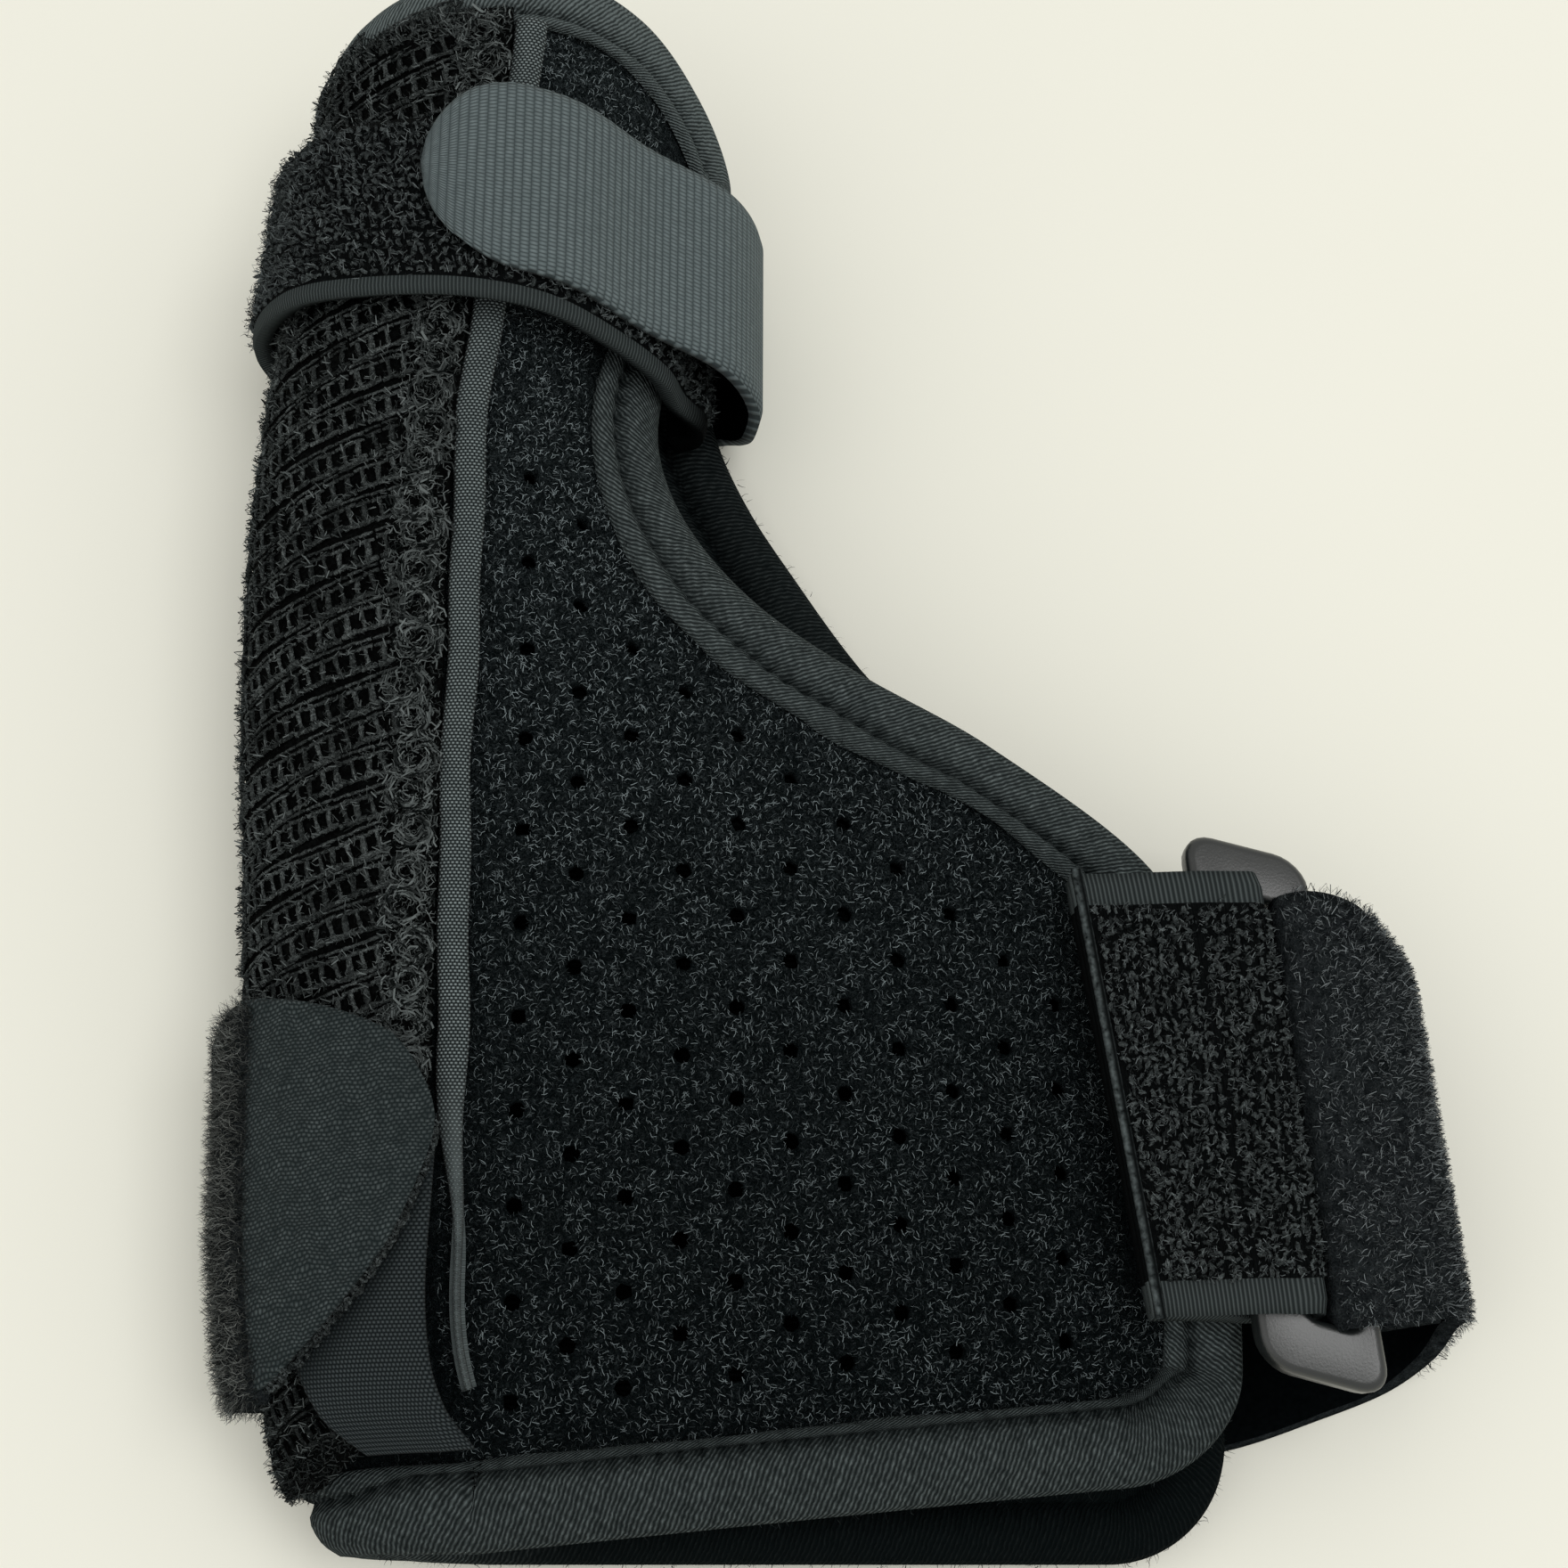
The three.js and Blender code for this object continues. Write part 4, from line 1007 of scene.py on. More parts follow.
band = cloth(
    "thumb_band_terry", BAND["columns"], BAND["steps"], band_place, BAND["width"], band_strap.length
)
# Painted shade: the first stretch of the band, which curls inside the tube, has its selvage drawn dark.
tone_by(band, smooth((flat_places(band, 1, 1)[1] - BAND["shaded_start"]) / 6))
thicken(band, BAND["thick"])
terry = Finish("terry_webbing", 0.95)
terry_across, terry_along = terry.weave()
terry_ribs = terry.waves(terry_along, 0.42)
terry_tone = terry.mix(terry_ribs, (0.018, 0.0228, 0.0234), (0.056, 0.067, 0.068))
terry_ground = terry.mix(terry.noise(0.6), (0.0008, 0.001, 0.0011), (0.005, 0.0062, 0.0065))
terry_edge = terry.sum("LESS_THAN", terry_across, BAND["selvage"])
# The painted shade at the band's start turns the selvage to the dark ground.
terry_edge = terry.times(terry_edge, terry.shade())
terry.paint(terry.mix(terry_edge, terry_ground, terry_tone), terry_ribs, 0.2)
band.data.materials.append(terry.material)
fix(band, "thumb_band")

# Loops of the thumb band: terry loops of soft yarn in rows across its woven ground, a little
# tumbled, with loose fibres over them. The part that lies on the table has none.
BAND_LOOPS = {"pitch": 1.16, "row": 1.22, "size": (0.8, 0.8, 0.95), "sunk": 0.15}


def terry_loop(lean):
    """One terry loop of unit width as a closed tube: a grid rolled up along an arch."""
    shape = bmesh.new()
    bmesh.ops.create_grid(shape, x_segments=4, y_segments=4, size=0.5)
    for vert in shape.verts:
        around, t = 2 * math.pi * vert.co.x, vert.co.y + 0.5
        angle = math.pi * (1.25 * t - 0.125)
        reach = 0.5 + 0.3 * math.cos(around)
        side = 0.3 * math.sin(around) + lean * math.sin(angle)
        vert.co = (reach * math.cos(angle), side, reach * math.sin(angle))
    bmesh.ops.remove_doubles(shape, verts=shape.verts, dist=1e-4)
    bmesh.ops.recalc_face_normals(shape, faces=shape.faces)
    return shape


loop_yarn = loop_finish("loop_yarn", (0.0012, 0.0018, 0.002), (0.15, 0.174, 0.176), floor=0.16)
band_rows = np.arange(0.4, band_strap.length - 0.5, BAND_LOOPS["row"])
band_columns = np.arange(BAND["selvage"] + 0.7, BAND["width"] - 0.5, BAND_LOOPS["pitch"])
loop_run, loop_across = (grid.ravel() for grid in np.meshgrid(band_rows, band_columns))
loop_run = loop_run + 0.35 * loop_across + draw.normal(0, 0.1, loop_run.shape)
loop_across = loop_across + draw.normal(0, 0.1, loop_run.shape)
loop_t = np.clip(loop_run / band_strap.length, 0, 1)
loop_lift = BAND["thick"] / 2 - BAND_LOOPS["sunk"]
loop_at = band_strap.at(loop_across - BAND["width"] / 2, loop_t, loop_lift)
off_table = (loop_at[:, 2] > 1.6) | (band_strap.normal_at(loop_t)[:, 2] > -0.2)
loop_shown = off_table & (loop_run < band_strap.length)
loop_t, loop_at = loop_t[loop_shown], loop_at[loop_shown]
loop_count = len(loop_t)
loop_normal = unit(band_strap.normal_at(loop_t) + draw.normal(0, 0.28, (loop_count, 3)))
loop_size = draw.uniform(0.8, 1.15, loop_count)
band_loops = strew(
    "thumb_band_loops",
    [terry_loop(0.25), terry_loop(-0.3), terry_loop(0.05)],
    loop_at,
    frames_on(loop_normal, draw.normal(0, 1, (loop_count, 3))),
    loop_size[:, None] * np.array(BAND_LOOPS["size"]),
    draw.uniform(0.25, 1, loop_count),
    loop_yarn,
)
fix(band_loops)
loop_fibre = fibre_finish("loop_fibre", (0.002, 0.003, 0.0032), (0.148, 0.17, 0.174))


def loop_fuzz(name, places, normals, each, length):
    """Loose fibres that stand about on terry loops, so many on each."""
    count = len(places) * each
    upright = np.repeat(normals, each, 0)
    at = np.repeat(places, each, 0) + upright * 0.55 + draw.normal(0, 0.28, (count, 3))
    lengths = draw.uniform(*length, count)
    leaning = unit(upright + draw.normal(0, 0.7, (count, 3)))
    piece = strew(
        name,
        [fibre(0.2, 1.3, True, 0.12), fibre(0.3, 1.0, False, 0.12), fibre(-0.25, 1.7, False, 0.12)],
        at,
        frames_on(leaning, draw.normal(0, 1, (count, 3))),
        lengths,
        draw.uniform(0, 1, count) ** 1.6,
        loop_fibre,
    )
    fix(piece)
    return piece


band_fuzz = loop_fuzz("thumb_band_fuzz", loop_at, loop_normal, 7, (0.35, 0.85))

# Thumb tab: grey woven back of hook tape; from the band's end under the tube it comes round the
# open side and over the top, and ends in a round tip pressed on the band.
TAB = {"width": 23.5, "thick": 1.4, "over": 7.1, "columns": 18, "steps": 160}
tab_route = [on_thumb(x, 0.7) for x in (-18.5, -14.5, -11.4)]
tab_route += [on_thumb(x, z) for x, z in ((-7.6, 2.4), (-5.4, 6), (-3.9, 13), (-3.3, 20), (-6.4, 28))]
tab_route += [round_thumb(u, TAB["over"]) for u in (0.35, 0.65, 1, 1.035, 1.07)]
tab_strap = Strap(tab_route, TAB["steps"], along_thumb, -1)


def tab_place(s, t):
    radius = TAB["width"] / 2
    left = tab_strap.length * (1 - t)
    half = np.where(left < radius, np.sqrt(np.clip(radius**2 - (radius - left) ** 2, 0.04, None)), radius)
    return tab_strap.at((2 * s - 1) * half, t, TAB["thick"] / 2 - 0.35 * near_sides(s, 0.92) ** 2)


thumb_tab = cloth("thumb_tab_grey", TAB["columns"], TAB["steps"], tab_place, TAB["width"], tab_strap.length)
thicken(thumb_tab, TAB["thick"], inner_slot=1)
hooked = Finish("hook_tape_back", 0.8, sheen=0.03)
hook_across, hook_along = hooked.weave()
hook_relief = hooked.stitches(hook_across, hook_along, 0.5, 1.02, 0.6)
hook_wear = hooked.scaled(hooked.noise(0.8, 4.0), 0.9, 0.4)
hook_cloud = hooked.times(hook_relief, hook_wear)
hooked.paint(hooked.mix(hook_cloud, (0.04, 0.052, 0.055), (0.138, 0.17, 0.177)), hook_relief, 0.14)
# The inner side is black hook tape, drawn darker still with painted shade where the tab curls.
hook_side_in_shade = Finish("hook_side_in_shade", 0.95, specular=0.0)
hook_side_in_shade.paint(hook_side_in_shade.mix(hook_side_in_shade.noise(0.6), (0.0005, 0.0008, 0.0009), (0.004, 0.0052, 0.0056)))
thumb_tab.data.materials.append(hooked.material)
thumb_tab.data.materials.append(hook_side_in_shade.material)
fix(thumb_tab, "thumb_tab")

# Ring: one satin-black moulded loop with a wide bar for the ring tab, a narrow bar for the wrist
# strap and rounded ends. It lies level with the front leaf's edge.
RING = {
    "width": 12.8, "ends": (-27.9, 29.7), "corner": 3.2, "thick": 4.4, "edge": 1.0,
    "skew": -0.38, "bow": 0.00125,
    "bar": 5.2, "slot": 5.2, "slot_ends": (-21.5, 23.5), "slot_corner": 1.4,
    "bar_high": 3.5, "bar_round": 0.6, "bar_gap": 0.65,
}
RING_AT = {"x": 53.2, "y": -44.8, "z": 21.6, "turn": 6.1, "lean": 0.065}


def rounded_loop(bm, x0, x1, y0, y1, radius):
    """The edge loop of a rectangle with rounded corners."""
    before = set(bm.edges)
    corners = [bm.verts.new(place) for place in ((x0, y0, 0), (x1, y0, 0), (x1, y1, 0), (x0, y1, 0))]
    bm.faces.new(corners)
    bmesh.ops.bevel(
        bm, geom=corners, offset=radius, offset_type="OFFSET", segments=6, profile=0.5,
        affect="VERTICES", material=-1,
    )
    loop = [edge for edge in bm.edges if edge not in before]
    bmesh.ops.delete(bm, geom=list({f for edge in loop for f in edge.link_faces}), context="FACES_ONLY")
    return loop


bm = bmesh.new()
half_width = RING["width"] / 2
ring_edges = rounded_loop(bm, -half_width, half_width, *RING["ends"], RING["corner"])
slot_left = -half_width + RING["bar"]
slot_right = slot_left + RING["slot"]
ring_edges += rounded_loop(bm, slot_left, slot_right, *RING["slot_ends"], RING["slot_corner"])
bmesh.ops.bridge_loops(bm, edges=ring_edges)
bmesh.ops.recalc_face_normals(bm, faces=bm.faces)
made = bmesh.ops.extrude_face_region(bm, geom=list(bm.faces))["geom"]
top = [item for item in made if isinstance(item, bmesh.types.BMVert)]
bmesh.ops.translate(bm, vec=(0, 0, RING["thick"]), verts=top)
bmesh.ops.recalc_face_normals(bm, faces=bm.faces)
sharp = [edge for edge in bm.edges if edge.calc_face_angle(0) > 1.2]
bmesh.ops.bevel(
    bm, geom=sharp, offset=RING["edge"], offset_type="OFFSET", segments=5, profile=0.5,
    affect="EDGES", material=-1, clamp_overlap=True,
)
for vert in bm.verts:
    vert.co.z -= RING["bow"] * vert.co.y ** 2
ring_place = Matrix.Translation((np.array([RING_AT["x"], RING_AT["y"], RING_AT["z"]]) - MIDDLE) * MM)
ring_place @= Matrix.Rotation(math.radians(RING_AT["turn"]), 4, "Z")
ring_place @= Matrix.Rotation(math.atan(RING_AT["lean"]), 4, "X")
ring_place @= Matrix.Scale(MM, 4) @ Matrix.Translation((0, 0, -RING["thick"] / 2))
ring_place @= Matrix(((1, 0, 0, 0), (RING["skew"], 1, 0, 0), (0, 0, 1, 0), (0, 0, 0, 1)))
bmesh.ops.transform(bm, matrix=ring_place, verts=bm.verts)
mesh = bpy.data.meshes.new("strap_ring")
bm.to_mesh(mesh)
bm.free()
ring = piece_of("strap_ring", mesh)
satin = Finish("ring_plastic", 0.32, specular=0.68)
satin_grain = satin.noise(0.25, 4.0)
satin.paint(satin.mix(satin.noise(9.0), (0.006, 0.0078, 0.008), (0.012, 0.0145, 0.0145)), satin_grain, 0.02)
ring.data.materials.append(satin.material)
fix(ring, "ring")

# Ring tab: doubled terry webbing from a seam on the front leaf, out round the ring's wide bar and
# back. Both selvages are plain ribbed bands, and a folded strip covers its raw end at the seam.
RING_TAB = {
    "width": 47.0, "thick": 1.8, "columns": 30, "steps": 120, "off": 2.4, "seam": -18.4,
    "drift": -0.08, "slant": 0.05, "selvage": 3.6,
}


def beside_ring(p, z, along=0.0):
    turn = math.radians(RING_AT["turn"])
    return np.array([
        RING_AT["x"] + p * math.cos(turn) - along * math.sin(turn),
        RING_AT["y"] + p * math.sin(turn) + along * math.cos(turn),
        RING_AT["z"] + z,
    ])


def round_bar(edge, side, thick, along=0.0):
    """Middle points of a strap round the slot side of a bar; side is 1 to the bar's right."""
    curl = RING["bar_round"] + RING["bar_gap"] + thick / 2
    flat = RING["bar_high"] / 2 - RING["bar_round"]
    points = []
    for angle in (-90, -45, -1, 1, 45, 90):
        a = math.radians(angle)
        p = edge - side * RING["bar_round"] + side * curl * math.cos(a)
        points.append(beside_ring(p, math.copysign(flat, angle) + curl * math.sin(a), along))
    return points


def lean_with_ring(place):
    place = place.copy()
    place[:, 2] += RING_AT["lean"] * (place[:, 1] - RING_AT["y"]) * smooth((place[:, 2] - 4) / 10)
    return place


def settle_ring_tab(place):
    place = place.copy()
    towards_seam = smooth((RING_AT["x"] - place[:, 0]) / 18)
    place[:, 0] -= RING_TAB["slant"] * (place[:, 1] - RING_AT["y"]) * towards_seam
    return lean_with_ring(place)


def along_ring(middle):
    return beside_ring(0, 0, 1) - beside_ring(0, 0)


def ring_tab_at(p, z):
    return beside_ring(p, z, RING_TAB["off"] + RING_TAB["drift"] * p)


under_bar = ((RING_TAB["seam"], 1.1), (-14, 0.2), (-10, -1.3), (-7.2, -3.1), (-4.6, -3.3))
over_bar = ((-4.6, 3.2), (-8, 3.2), (-14, 3.0), (RING_TAB["seam"], 3.3))
ring_route = [ring_tab_at(p, z) for p, z in under_bar]
ring_route += round_bar(slot_left, 1, RING_TAB["thick"], RING_TAB["off"])
ring_route += [ring_tab_at(p, z) for p, z in over_bar]
ring_strap = Strap(ring_route, RING_TAB["steps"], along_ring, -1, settle_ring_tab)


def ring_tab_place(s, t):
    lift = RING_TAB["thick"] / 2 - 0.4 * near_sides(s, 0.96)
    return ring_strap.at((s - 0.5) * RING_TAB["width"], t, lift)


ring_tab = cloth(
    "ring_tab_terry", RING_TAB["columns"], RING_TAB["steps"], ring_tab_place,
    RING_TAB["width"], ring_strap.length,
)
thicken(ring_tab, RING_TAB["thick"])
looped = Finish("ring_tab_webbing", 0.95)
looped_across, looped_along = looped.weave()
looped_ribs = looped.waves(looped_along, 0.48)
looped_tone = looped.mix(looped_ribs, (0.014, 0.018, 0.0186), (0.062, 0.074, 0.075))
looped_ground = looped.mix(looped.noise(0.6), (0.0008, 0.001, 0.0011), (0.005, 0.0062, 0.0065))
from_middle = looped.sum("ABSOLUTE", looped.sum("SUBTRACT", looped_across, RING_TAB["width"] / 2))
looped_edge = looped.sum("GREATER_THAN", from_middle, RING_TAB["width"] / 2 - RING_TAB["selvage"])
looped.paint(looped.mix(looped_edge, looped_ground, looped_tone), looped_ribs, 0.2)
ring_tab.data.materials.append(looped.material)
fix(ring_tab, "ring_tab")

# Loops of the ring tab: columns of small terry loops between the selvages, with a parting where
# the web was folded, and loose fibres over them.
TAB_LOOPS = {
    "column": 1.0, "row": 0.84, "first": 2.1, "last": 26.0, "parting": 11.3,
    "size": (0.7, 0.7, 0.9), "sunk": 0.1,
}
tab_columns = np.arange(TAB_LOOPS["first"], TAB_LOOPS["last"], TAB_LOOPS["column"])
tab_columns = tab_columns + 0.5 * (tab_columns > TAB_LOOPS["parting"])
tab_rows = np.arange(RING_TAB["selvage"] + 0.4, RING_TAB["width"] - RING_TAB["selvage"], TAB_LOOPS["row"])
loop_run, loop_across = (grid.ravel() for grid in np.meshgrid(tab_columns, tab_rows))
loop_run = loop_run + 0.2 * np.sin(loop_across / 3.1) + draw.normal(0, 0.14, loop_run.shape)
loop_across = loop_across + draw.normal(0, 0.22, loop_run.shape)
loop_t = 1 - loop_run / ring_strap.length
loop_lift = RING_TAB["thick"] / 2 - TAB_LOOPS["sunk"]
loop_at = ring_strap.at(loop_across - RING_TAB["width"] / 2, loop_t, loop_lift)
loop_count = len(loop_t)
loop_normal = unit(ring_strap.normal_at(loop_t) + draw.normal(0, 0.3, (loop_count, 3)))
loop_size = draw.uniform(0.75, 1.25, loop_count)
loop_heading = along_ring(None) + draw.normal(0, 0.9, (loop_count, 3))
ring_tab_loops = strew(
    "ring_tab_loops",
    [terry_loop(0.3), terry_loop(-0.35), terry_loop(0.1)],
    loop_at,
    frames_on(loop_normal, loop_heading),
    loop_size[:, None] * np.array(TAB_LOOPS["size"]),
    draw.uniform(0.2, 1, loop_count),
    loop_yarn,
)
fix(ring_tab_loops)
ring_tab_fuzz = loop_fuzz("ring_tab_fuzz", loop_at, loop_normal, 8, (0.3, 0.7))

# Strip at the ring tab's seam: a narrow folded strip of the same webbing, sewn over its raw end
# across the whole width.
STRIP = {
    "wide": 1.2, "past": 0.6, "lift": 0.3, "ridge": 0.35, "edge": 0.9, "flat": 1.5,
    "columns": 12, "rows": 120,
}


def seam_strip_place(s, t):
    run = ring_strap.length - STRIP["wide"] * s
    lift = RING_TAB["thick"] / 2 + STRIP["lift"] + STRIP["ridge"] * np.sin(np.pi * s)
    return ring_strap.at((t - 0.5) * (RING_TAB["width"] + STRIP["past"]), run / ring_strap.length, lift)


seam_strip = cloth(
    "ring_tab_strip", STRIP["columns"], STRIP["rows"], seam_strip_place, STRIP["flat"], RING_TAB["width"]
)
turn_down(seam_strip, STRIP["edge"])
folded = Finish("seam_strip_fold", 0.9)
strip_ridges = folded.waves(folded.weave()[0], STRIP["flat"])
strip_wear = folded.scaled(folded.noise(0.6, 5.0), 2.6, -0.75)
strip_tone = folded.times(strip_ridges, strip_wear)
folded.paint(folded.mix(strip_tone, (0.003, 0.004, 0.0042), (0.075, 0.09, 0.092)), strip_ridges, 0.2)
seam_strip.data.materials.append(folded.material)
fix(seam_strip)

# Wrist strap: plush webbing looped round the ring's narrow bar, out to the side in a soft bend,
# flat under the back leaf and up the outside of the fold.
STRAP = {
    "width": 46.0, "thick": 2.0, "columns": 22, "steps": 240, "fold_y": -52.6,
    "roll": 2.2, "drawn": 2.4, "gather": 0.2,
}
under_back = ((57, -51.5, 1), (45, -55.3, 1), (25, -56, 1), (-10, -54.2, 1))
up_fold = ((-40, 1), (-51, 1.4), (-58.3, 6.6), (-60.9, 13.5))
strap_route = [beside_ring(p, z) for p, z in ((13, -0.5), (10.2, -1.2), (7.6, -2.9))]
strap_route += round_bar(slot_right, -1, STRAP["thick"])
strap_route += [beside_ring(p, z) for p, z in ((9, 3.1), (13, 2), (15.7, -2.6), (16.4, -9))]
strap_route += [beside_ring(14.8, -16.2, -2.5), beside_ring(10.5, -20.1, -5)]
strap_route += [np.array(place) for place in under_back]
strap_route += [np.array([x, STRAP["fold_y"], z]) for x, z in up_fold]


def strap_across(middle):
    part = smooth((middle[:, :1] - 30) / 30)
    return unit(np.array([[0.0, 1.0, 0.0]]) * (1 - part) + along_ring(None) * part)


def settle_strap(place):
    place = lean_with_ring(settle_on_fold(section("left", STRAP["fold_y"]))(place))
    place[:, 1] -= STRAP["gather"] * (place[:, 1] - STRAP["fold_y"]) * smooth((-46 - place[:, 0]) / 10)
    above = place[:, 1] - RING_AT["y"]
    place[:, 1] -= STRAP["drawn"] * smooth((above - 6) / 17) * smooth((place[:, 0] - 55) / 11)
    upper_edge = np.clip((above - 16) / 7, 0, 1.1) ** 2.4
    place[:, 0] -= STRAP["roll"] * upper_edge * smooth((place[:, 0] - 58) / 9)
    return place


wrist_band = Strap(strap_route, STRAP["steps"], strap_across, 1, settle_strap)


def strap_place(s, t):
    lift = STRAP["thick"] / 2 - 0.6 * near_sides(s, 0.94) ** 2
    return wrist_band.at((0.5 - s) * STRAP["width"], t, lift)


wrist_strap = cloth(
    "wrist_strap_plush", STRAP["columns"], STRAP["steps"], strap_place, STRAP["width"], wrist_band.length
)
thicken(wrist_strap, STRAP["thick"], inner_slot=1)
plush = Finish("plush_webbing", 1.0, specular=0.0)
plush_tufts = plush.noise(1.1, 4.0, distort=0.4)
plush_fine = plush.noise(0.22, 2.0)
plush_relief = plush.scaled(plush_fine, 0.5, plush_tufts)
plush_tone = plush.sum("POWER", plush.times(plush_tufts, plush_fine), 1.5)
plush.paint(plush.mix(plush_tone, (0.0014, 0.0023, 0.0028), (0.088, 0.102, 0.109)), plush_relief, 0.5)
strap_inside = Finish("strap_inside", 1.0, specular=0.0)
strap_grain = strap_inside.noise(0.6)
strap_inside.paint(strap_inside.mix(strap_grain, (0.0005, 0.0008, 0.0009), (0.003, 0.004, 0.0045)))
wrist_strap.data.materials.append(plush.material)
wrist_strap.data.materials.append(strap_inside.material)
fix(wrist_strap, "wrist_strap")

# Plush of the wrist strap: fine upright fibres of its brushed outer face, which lean out over
# both edges. Where the strap lies on the table, or inside the ring, they are left out.
PLUSH = {
    "count": 34000, "length": (0.4, 1.0), "sunk": 0.1, "off_table": 2.5, "from_ring": 0.09, "lean": 1.5,
}
plush_t = draw.uniform(0, 1, PLUSH["count"] * 3)
plush_offset = draw.uniform(-0.5, 0.5, PLUSH["count"] * 3) * STRAP["width"]
plush_at = wrist_band.at(plush_offset, plush_t, STRAP["thick"] / 2 - PLUSH["sunk"])
plush_shown = (plush_at[:, 2] > PLUSH["off_table"]) & (plush_t > PLUSH["from_ring"])
kept = np.flatnonzero(plush_shown)[: PLUSH["count"]]
plush_t, plush_offset, plush_at = plush_t[kept], plush_offset[kept], plush_at[kept]
past_edge = (np.abs(plush_offset) - STRAP["width"] / 2) / PLUSH["lean"] + 1
edge_lean = np.clip(past_edge, 0, 1) * np.sign(plush_offset)
plush_normal = wrist_band.normal_at(plush_t) + edge_lean[:, None] * np.array([0.0, 1.2, 0.0])
plush_normal = unit(plush_normal + draw.normal(0, 0.33, (len(kept), 3)))
plush_length = draw.uniform(*PLUSH["length"], len(kept))
plush_fibres = strew(
    "strap_fibres",
    [fibre(0.16, 1.2, True, 0.09), fibre(0.25, 1.0, True, 0.09), fibre(-0.2, 1.6, False, 0.09)],
    plush_at,
    frames_on(plush_normal, draw.normal(0, 1, (len(kept), 3))),
    plush_length,
    draw.uniform(0, 1, len(kept)) ** 1.7,
    fibre_finish("plush_fibre", (0.0032, 0.005, 0.0057), (0.2, 0.224, 0.233)),
)
fix(plush_fibres)

# Wrist tab: smooth fine-knit end of the strap, cut to a blunt point and pressed on the fold. Its
# underside is looped, and the loops show along the slanting cut edge.
TAB_KNIT = {
    "width": 43.5, "length": 34.0, "area": 0.00075, "thick": 1.4, "columns": 44, "rows": 60,
    "start": 1.515, "seam": 1.33, "tip": 0.985, "top": -32.6, "bottom": -74.0,
    "tip_top": -40.5, "tip_bottom": -53.0, "nose": 5.5, "wrist_lift": 5.0, "thumb_lift": 3.9, "leaf": 84.0,
}


def knit_run(u):
    """Distance round the fold from its crest, less than 0 on the front leaf."""
    return np.where(u < 1, (np.asarray(u) - 1) * TAB_KNIT["leaf"], np.interp(u, arc_u, arc_run))


def knit_tab_ends(u):
    """Lower and upper end of the tab at a place round the fold."""
    p = np.clip((TAB_KNIT["start"] - u) / (TAB_KNIT["start"] - TAB_KNIT["tip"]), 0, 1)
    top = TAB_KNIT["top"] + (TAB_KNIT["tip_top"] - TAB_KNIT["top"]) * p**3.5
    bottom = TAB_KNIT["bottom"] + (TAB_KNIT["tip_bottom"] - TAB_KNIT["bottom"]) * p**2.75
    from_tip = np.clip((knit_run(u) - knit_run(TAB_KNIT["tip"])) / TAB_KNIT["nose"], 0, 1)
    nose = np.sqrt(np.clip(1 - (1 - from_tip) ** 2, 0.002, 1))
    middle, half = (top + bottom) / 2, (top - bottom) / 2 * nose
    return middle - half, middle + half


def knit_tab_at(s, t):
    u = TAB_KNIT["tip"] + (TAB_KNIT["seam"] - TAB_KNIT["tip"]) * (1 - t) ** 2
    bottom, top = knit_tab_ends(u)
    return u, bottom + (top - bottom) * s


def knit_tab_lift(y):
    rise = TAB_KNIT["thumb_lift"] - TAB_KNIT["wrist_lift"]
    return TAB_KNIT["wrist_lift"] + rise * smooth((y + 60) / 25)


def knit_tab_place(s, t):
    u, y = knit_tab_at(1 - s, t)
    swell = 0.25 * np.sin(np.pi * s) * np.sin(np.pi * t)
    return over_face(u, y, knit_tab_lift(y) + TAB_KNIT["thick"] + swell)


knit_tab = cloth(
    "wrist_tab_knit", TAB_KNIT["columns"], TAB_KNIT["rows"], knit_tab_place,
    TAB_KNIT["width"], TAB_KNIT["length"],
)
tab_s, tab_t = flat_places(knit_tab, TAB_KNIT["width"], TAB_KNIT["length"])
tab_u, tab_y = knit_tab_at(1 - tab_s, tab_t)
knit_flat = np.stack([knit_run(tab_u), tab_y, 0 * tab_u], -1)
knit_tab.data.attributes["weave"].data.foreach_set("vector", knit_flat.ravel())
thicken(knit_tab, TAB_KNIT["thick"])
knit = Finish("tab_knit", 0.75, sheen=0.02)
knit_across, knit_along = knit.weave()
knit_rows = knit.scaled(knit_across, 0.12, knit_along)
knit_rows = knit.scaled(knit.noise(4.5), 1.9, knit_rows)
knit_rows = knit.scaled(knit.noise(1.0), 0.35, knit_rows)
knit_cells = knit.stitches(knit_across, knit_rows, 0.56, 0.42, 1.2)
knit_dots = knit.times(knit_cells, knit.scaled(knit.noise(0.5, 2.0), 1.6, 0.1))
knit_tone = knit.times(knit_dots, knit.scaled(knit.noise(1.2, 4.0), 1.5, -0.1))
knit.paint(knit.mix(knit_tone, (0.0085, 0.0128, 0.0136), (0.084, 0.102, 0.104)), knit_dots, 0.16)
knit_tab.data.materials.append(knit.material)
# Painted shadow: the hem tape is drawn darker near the wrist tab's lower edge, where the tab shades it.
hem_u, hem_y = hem_tape_at(*flat_places(hem_tape, HEM["width"], HEM["length"]))
tone_by(hem_tape, 0.25 + 0.75 * smooth((knit_tab_ends(hem_u)[0] - hem_y) / 5))
fix(knit_tab, "wrist_tab")

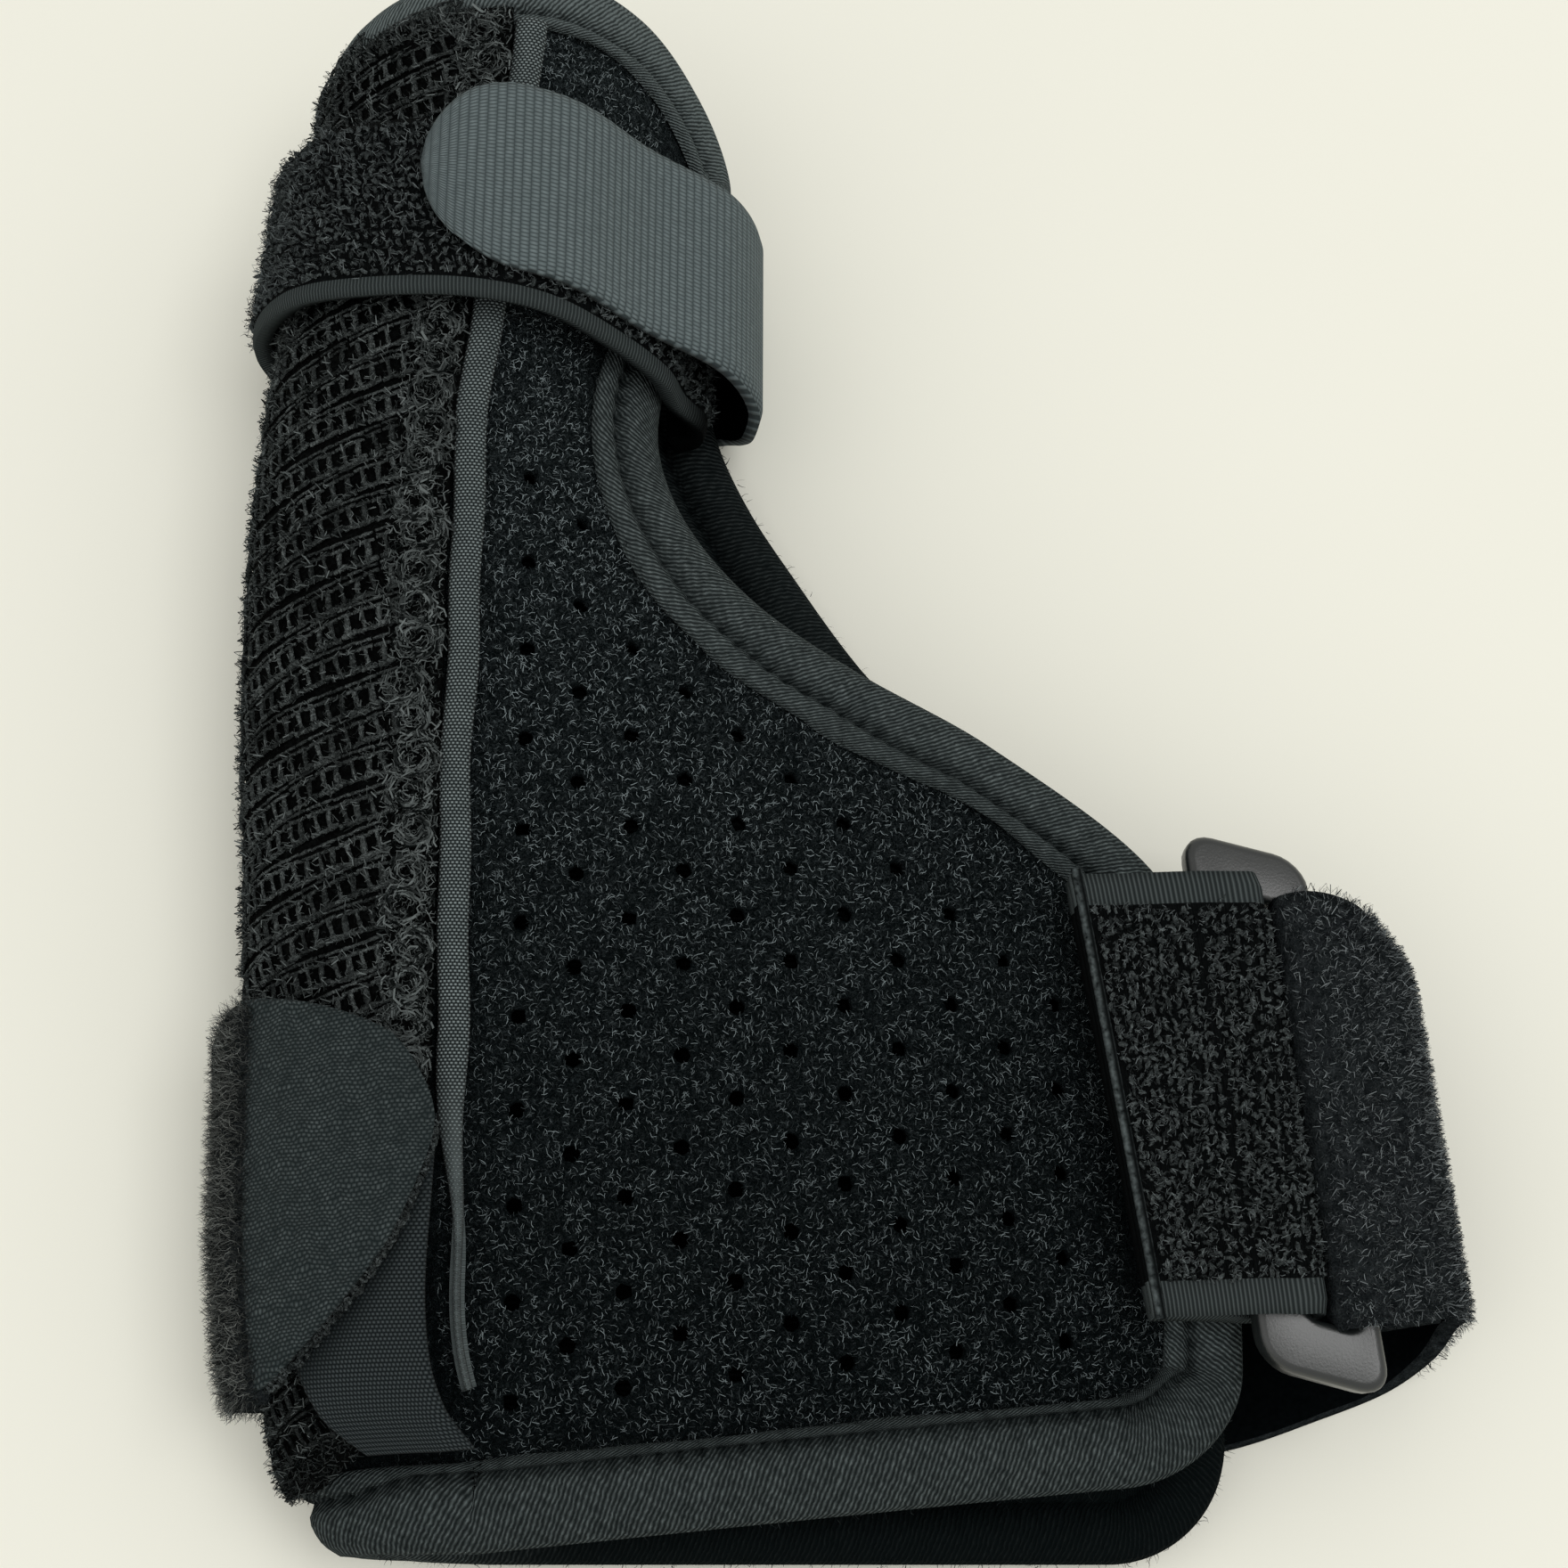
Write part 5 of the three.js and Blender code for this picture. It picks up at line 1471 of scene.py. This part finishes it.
# Fringe of the wrist tab: loops of its underside that stand out along the slanting cut edge, of the
# same yarn as the other loops.
fringe_count = 420
fringe_t = draw.uniform(0.02, 0.97, fringe_count)
fringe_u, fringe_y = knit_tab_at(0 * fringe_t, fringe_t)
fringe_lift = knit_tab_lift(fringe_y) + draw.uniform(-0.5, 0.7, fringe_count)
fringe_normal = unit(np.array([0.45, -0.8, 0.25]) + draw.normal(0, 0.4, (fringe_count, 3)))
fringe_size = draw.uniform(0.55, 0.9, fringe_count)
tab_fringe = strew(
    "wrist_tab_loops",
    [terry_loop(0.3), terry_loop(-0.3), terry_loop(0.1)],
    over_face(fringe_u, fringe_y + draw.uniform(-0.6, 0.5, fringe_count), fringe_lift),
    frames_on(fringe_normal, draw.normal(0, 1, (fringe_count, 3))),
    fringe_size * 0.75,
    draw.uniform(0.2, 0.9, fringe_count),
    loop_yarn,
)
fix(tab_fringe)

# Strap end: the last strip of the plush strap, which comes up the fold and is sewn over the wrist
# tab's straight edge. Its pile stands out past the fold.
STRAP_END = {
    "width": 40.5, "length": 18.0, "thick": 1.6, "columns": 40, "rows": 16, "low": 1.63, "seam": 1.295,
    "top": -33.0, "bottom": -73.5, "round": 4.0, "proud": 0.25, "fibres": 15000, "fibre": (0.5, 1.7),
}


def strap_end_place(s, t, proud=0.0):
    u = STRAP_END["low"] + (STRAP_END["seam"] - STRAP_END["low"]) * t
    top = STRAP_END["top"] - STRAP_END["round"] * np.clip((0.85 - t) / 0.6, 0, 1) ** 2
    y = top + (STRAP_END["bottom"] - top) * s
    rim = 0.5 * near_sides(s, 0.94) ** 2 + 0.4 * np.clip((t - 0.92) / 0.08, 0, 1) ** 2
    lift = knit_tab_lift(y) + TAB_KNIT["thick"] + STRAP_END["proud"] - rim - 1.2 * (1 - t)
    return over_face(u, y, lift + proud)


strap_end = cloth(
    "strap_end_plush", STRAP_END["columns"], STRAP_END["rows"], strap_end_place,
    STRAP_END["width"], STRAP_END["length"],
)
thicken(strap_end, STRAP_END["thick"])
strap_end.data.materials.append(plush.material)
fix(strap_end)
end_count = STRAP_END["fibres"]
end_s, end_t = draw.uniform(0, 1, (2, end_count))
end_at = strap_end_place(end_s, end_t, -0.1)
end_u = STRAP_END["low"] + (STRAP_END["seam"] - STRAP_END["low"]) * end_t
end_normal = face_normal(end_u, end_at[:, 1])
end_lean = (np.sign(0.5 - end_s) * near_sides(end_s, 0.9))[:, None] * np.array([0, 1.2, 0])
end_normal = unit(end_normal + end_lean + draw.normal(0, 0.55, (end_count, 3)))
end_length = draw.uniform(*STRAP_END["fibre"], end_count)
strap_end_fibres = strew(
    "strap_end_fibres",
    [fibre(0.16, 1.2, True, 0.06), fibre(0.25, 1.0, True, 0.06), fibre(-0.2, 1.6, True, 0.06)],
    end_at,
    frames_on(end_normal, draw.normal(0, 1, (end_count, 3))),
    end_length,
    # Painted shade: fibres along the seam over the wrist tab are drawn darker, as a shadow line between the
    # plush and the tab.
    draw.uniform(0, 1, end_count) ** 1.8 * (1 - 0.75 * smooth((end_t - 0.9) / 0.07)),
    fibre_finish("strap_end_fibre", (0.005, 0.0062, 0.0062), (0.21, 0.224, 0.213)),
)
fix(strap_end_fibres)

# Table, camera and light: a pale sheet under a large soft light from the upper right, seen from
# the wrist side and well above, as in the photograph.
TABLE_HALF = 8.0
CAMERA = {"at": (-0.00482, -0.10026, 0.29311), "tilt": 19.0, "lens": 59.32, "film": 36.0}
LIGHTS = (
    ("window", (0.5, -0.08, 1.5), 0.8, 8.2),
    ("fill", (-0.6, -0.3, 0.7), 0.8, 0.9),
)
bm = bmesh.new()
bmesh.ops.create_grid(bm, x_segments=1, y_segments=1, size=TABLE_HALF)
mesh = bpy.data.meshes.new("table")
bm.to_mesh(mesh)
bm.free()
table = piece_of("table", mesh)
paper = Finish("table_paper", 0.9, specular=0.1)
paper.paint(paper.mix(paper.noise(60.0), (0.80, 0.795, 0.715), (0.82, 0.815, 0.74)))
mesh.materials.append(paper.material)

camera = bpy.data.objects.new("camera", bpy.data.cameras.new("camera"))
camera.data.lens = CAMERA["lens"]
camera.data.sensor_width = CAMERA["film"]
camera.location = CAMERA["at"]
camera.rotation_euler = (math.radians(CAMERA["tilt"]), 0, 0)
bpy.context.scene.collection.objects.link(camera)
bpy.context.scene.camera = camera

for name, place, size, power in LIGHTS:
    light = bpy.data.objects.new(name, bpy.data.lights.new(name, "AREA"))
    light.data.size = size
    light.data.energy = power
    light.location = place
    light.rotation_euler = (-light.location).to_track_quat("-Z", "Y").to_euler()
    bpy.context.scene.collection.objects.link(light)
world = bpy.data.worlds.new("room")
world.use_nodes = True
world.node_tree.nodes["Background"].inputs["Color"].default_value = (1.0, 0.99, 0.945, 1.0)
world.node_tree.nodes["Background"].inputs["Strength"].default_value = 0.76
bpy.context.scene.world = world
bpy.context.scene.view_settings.view_transform = "Standard"
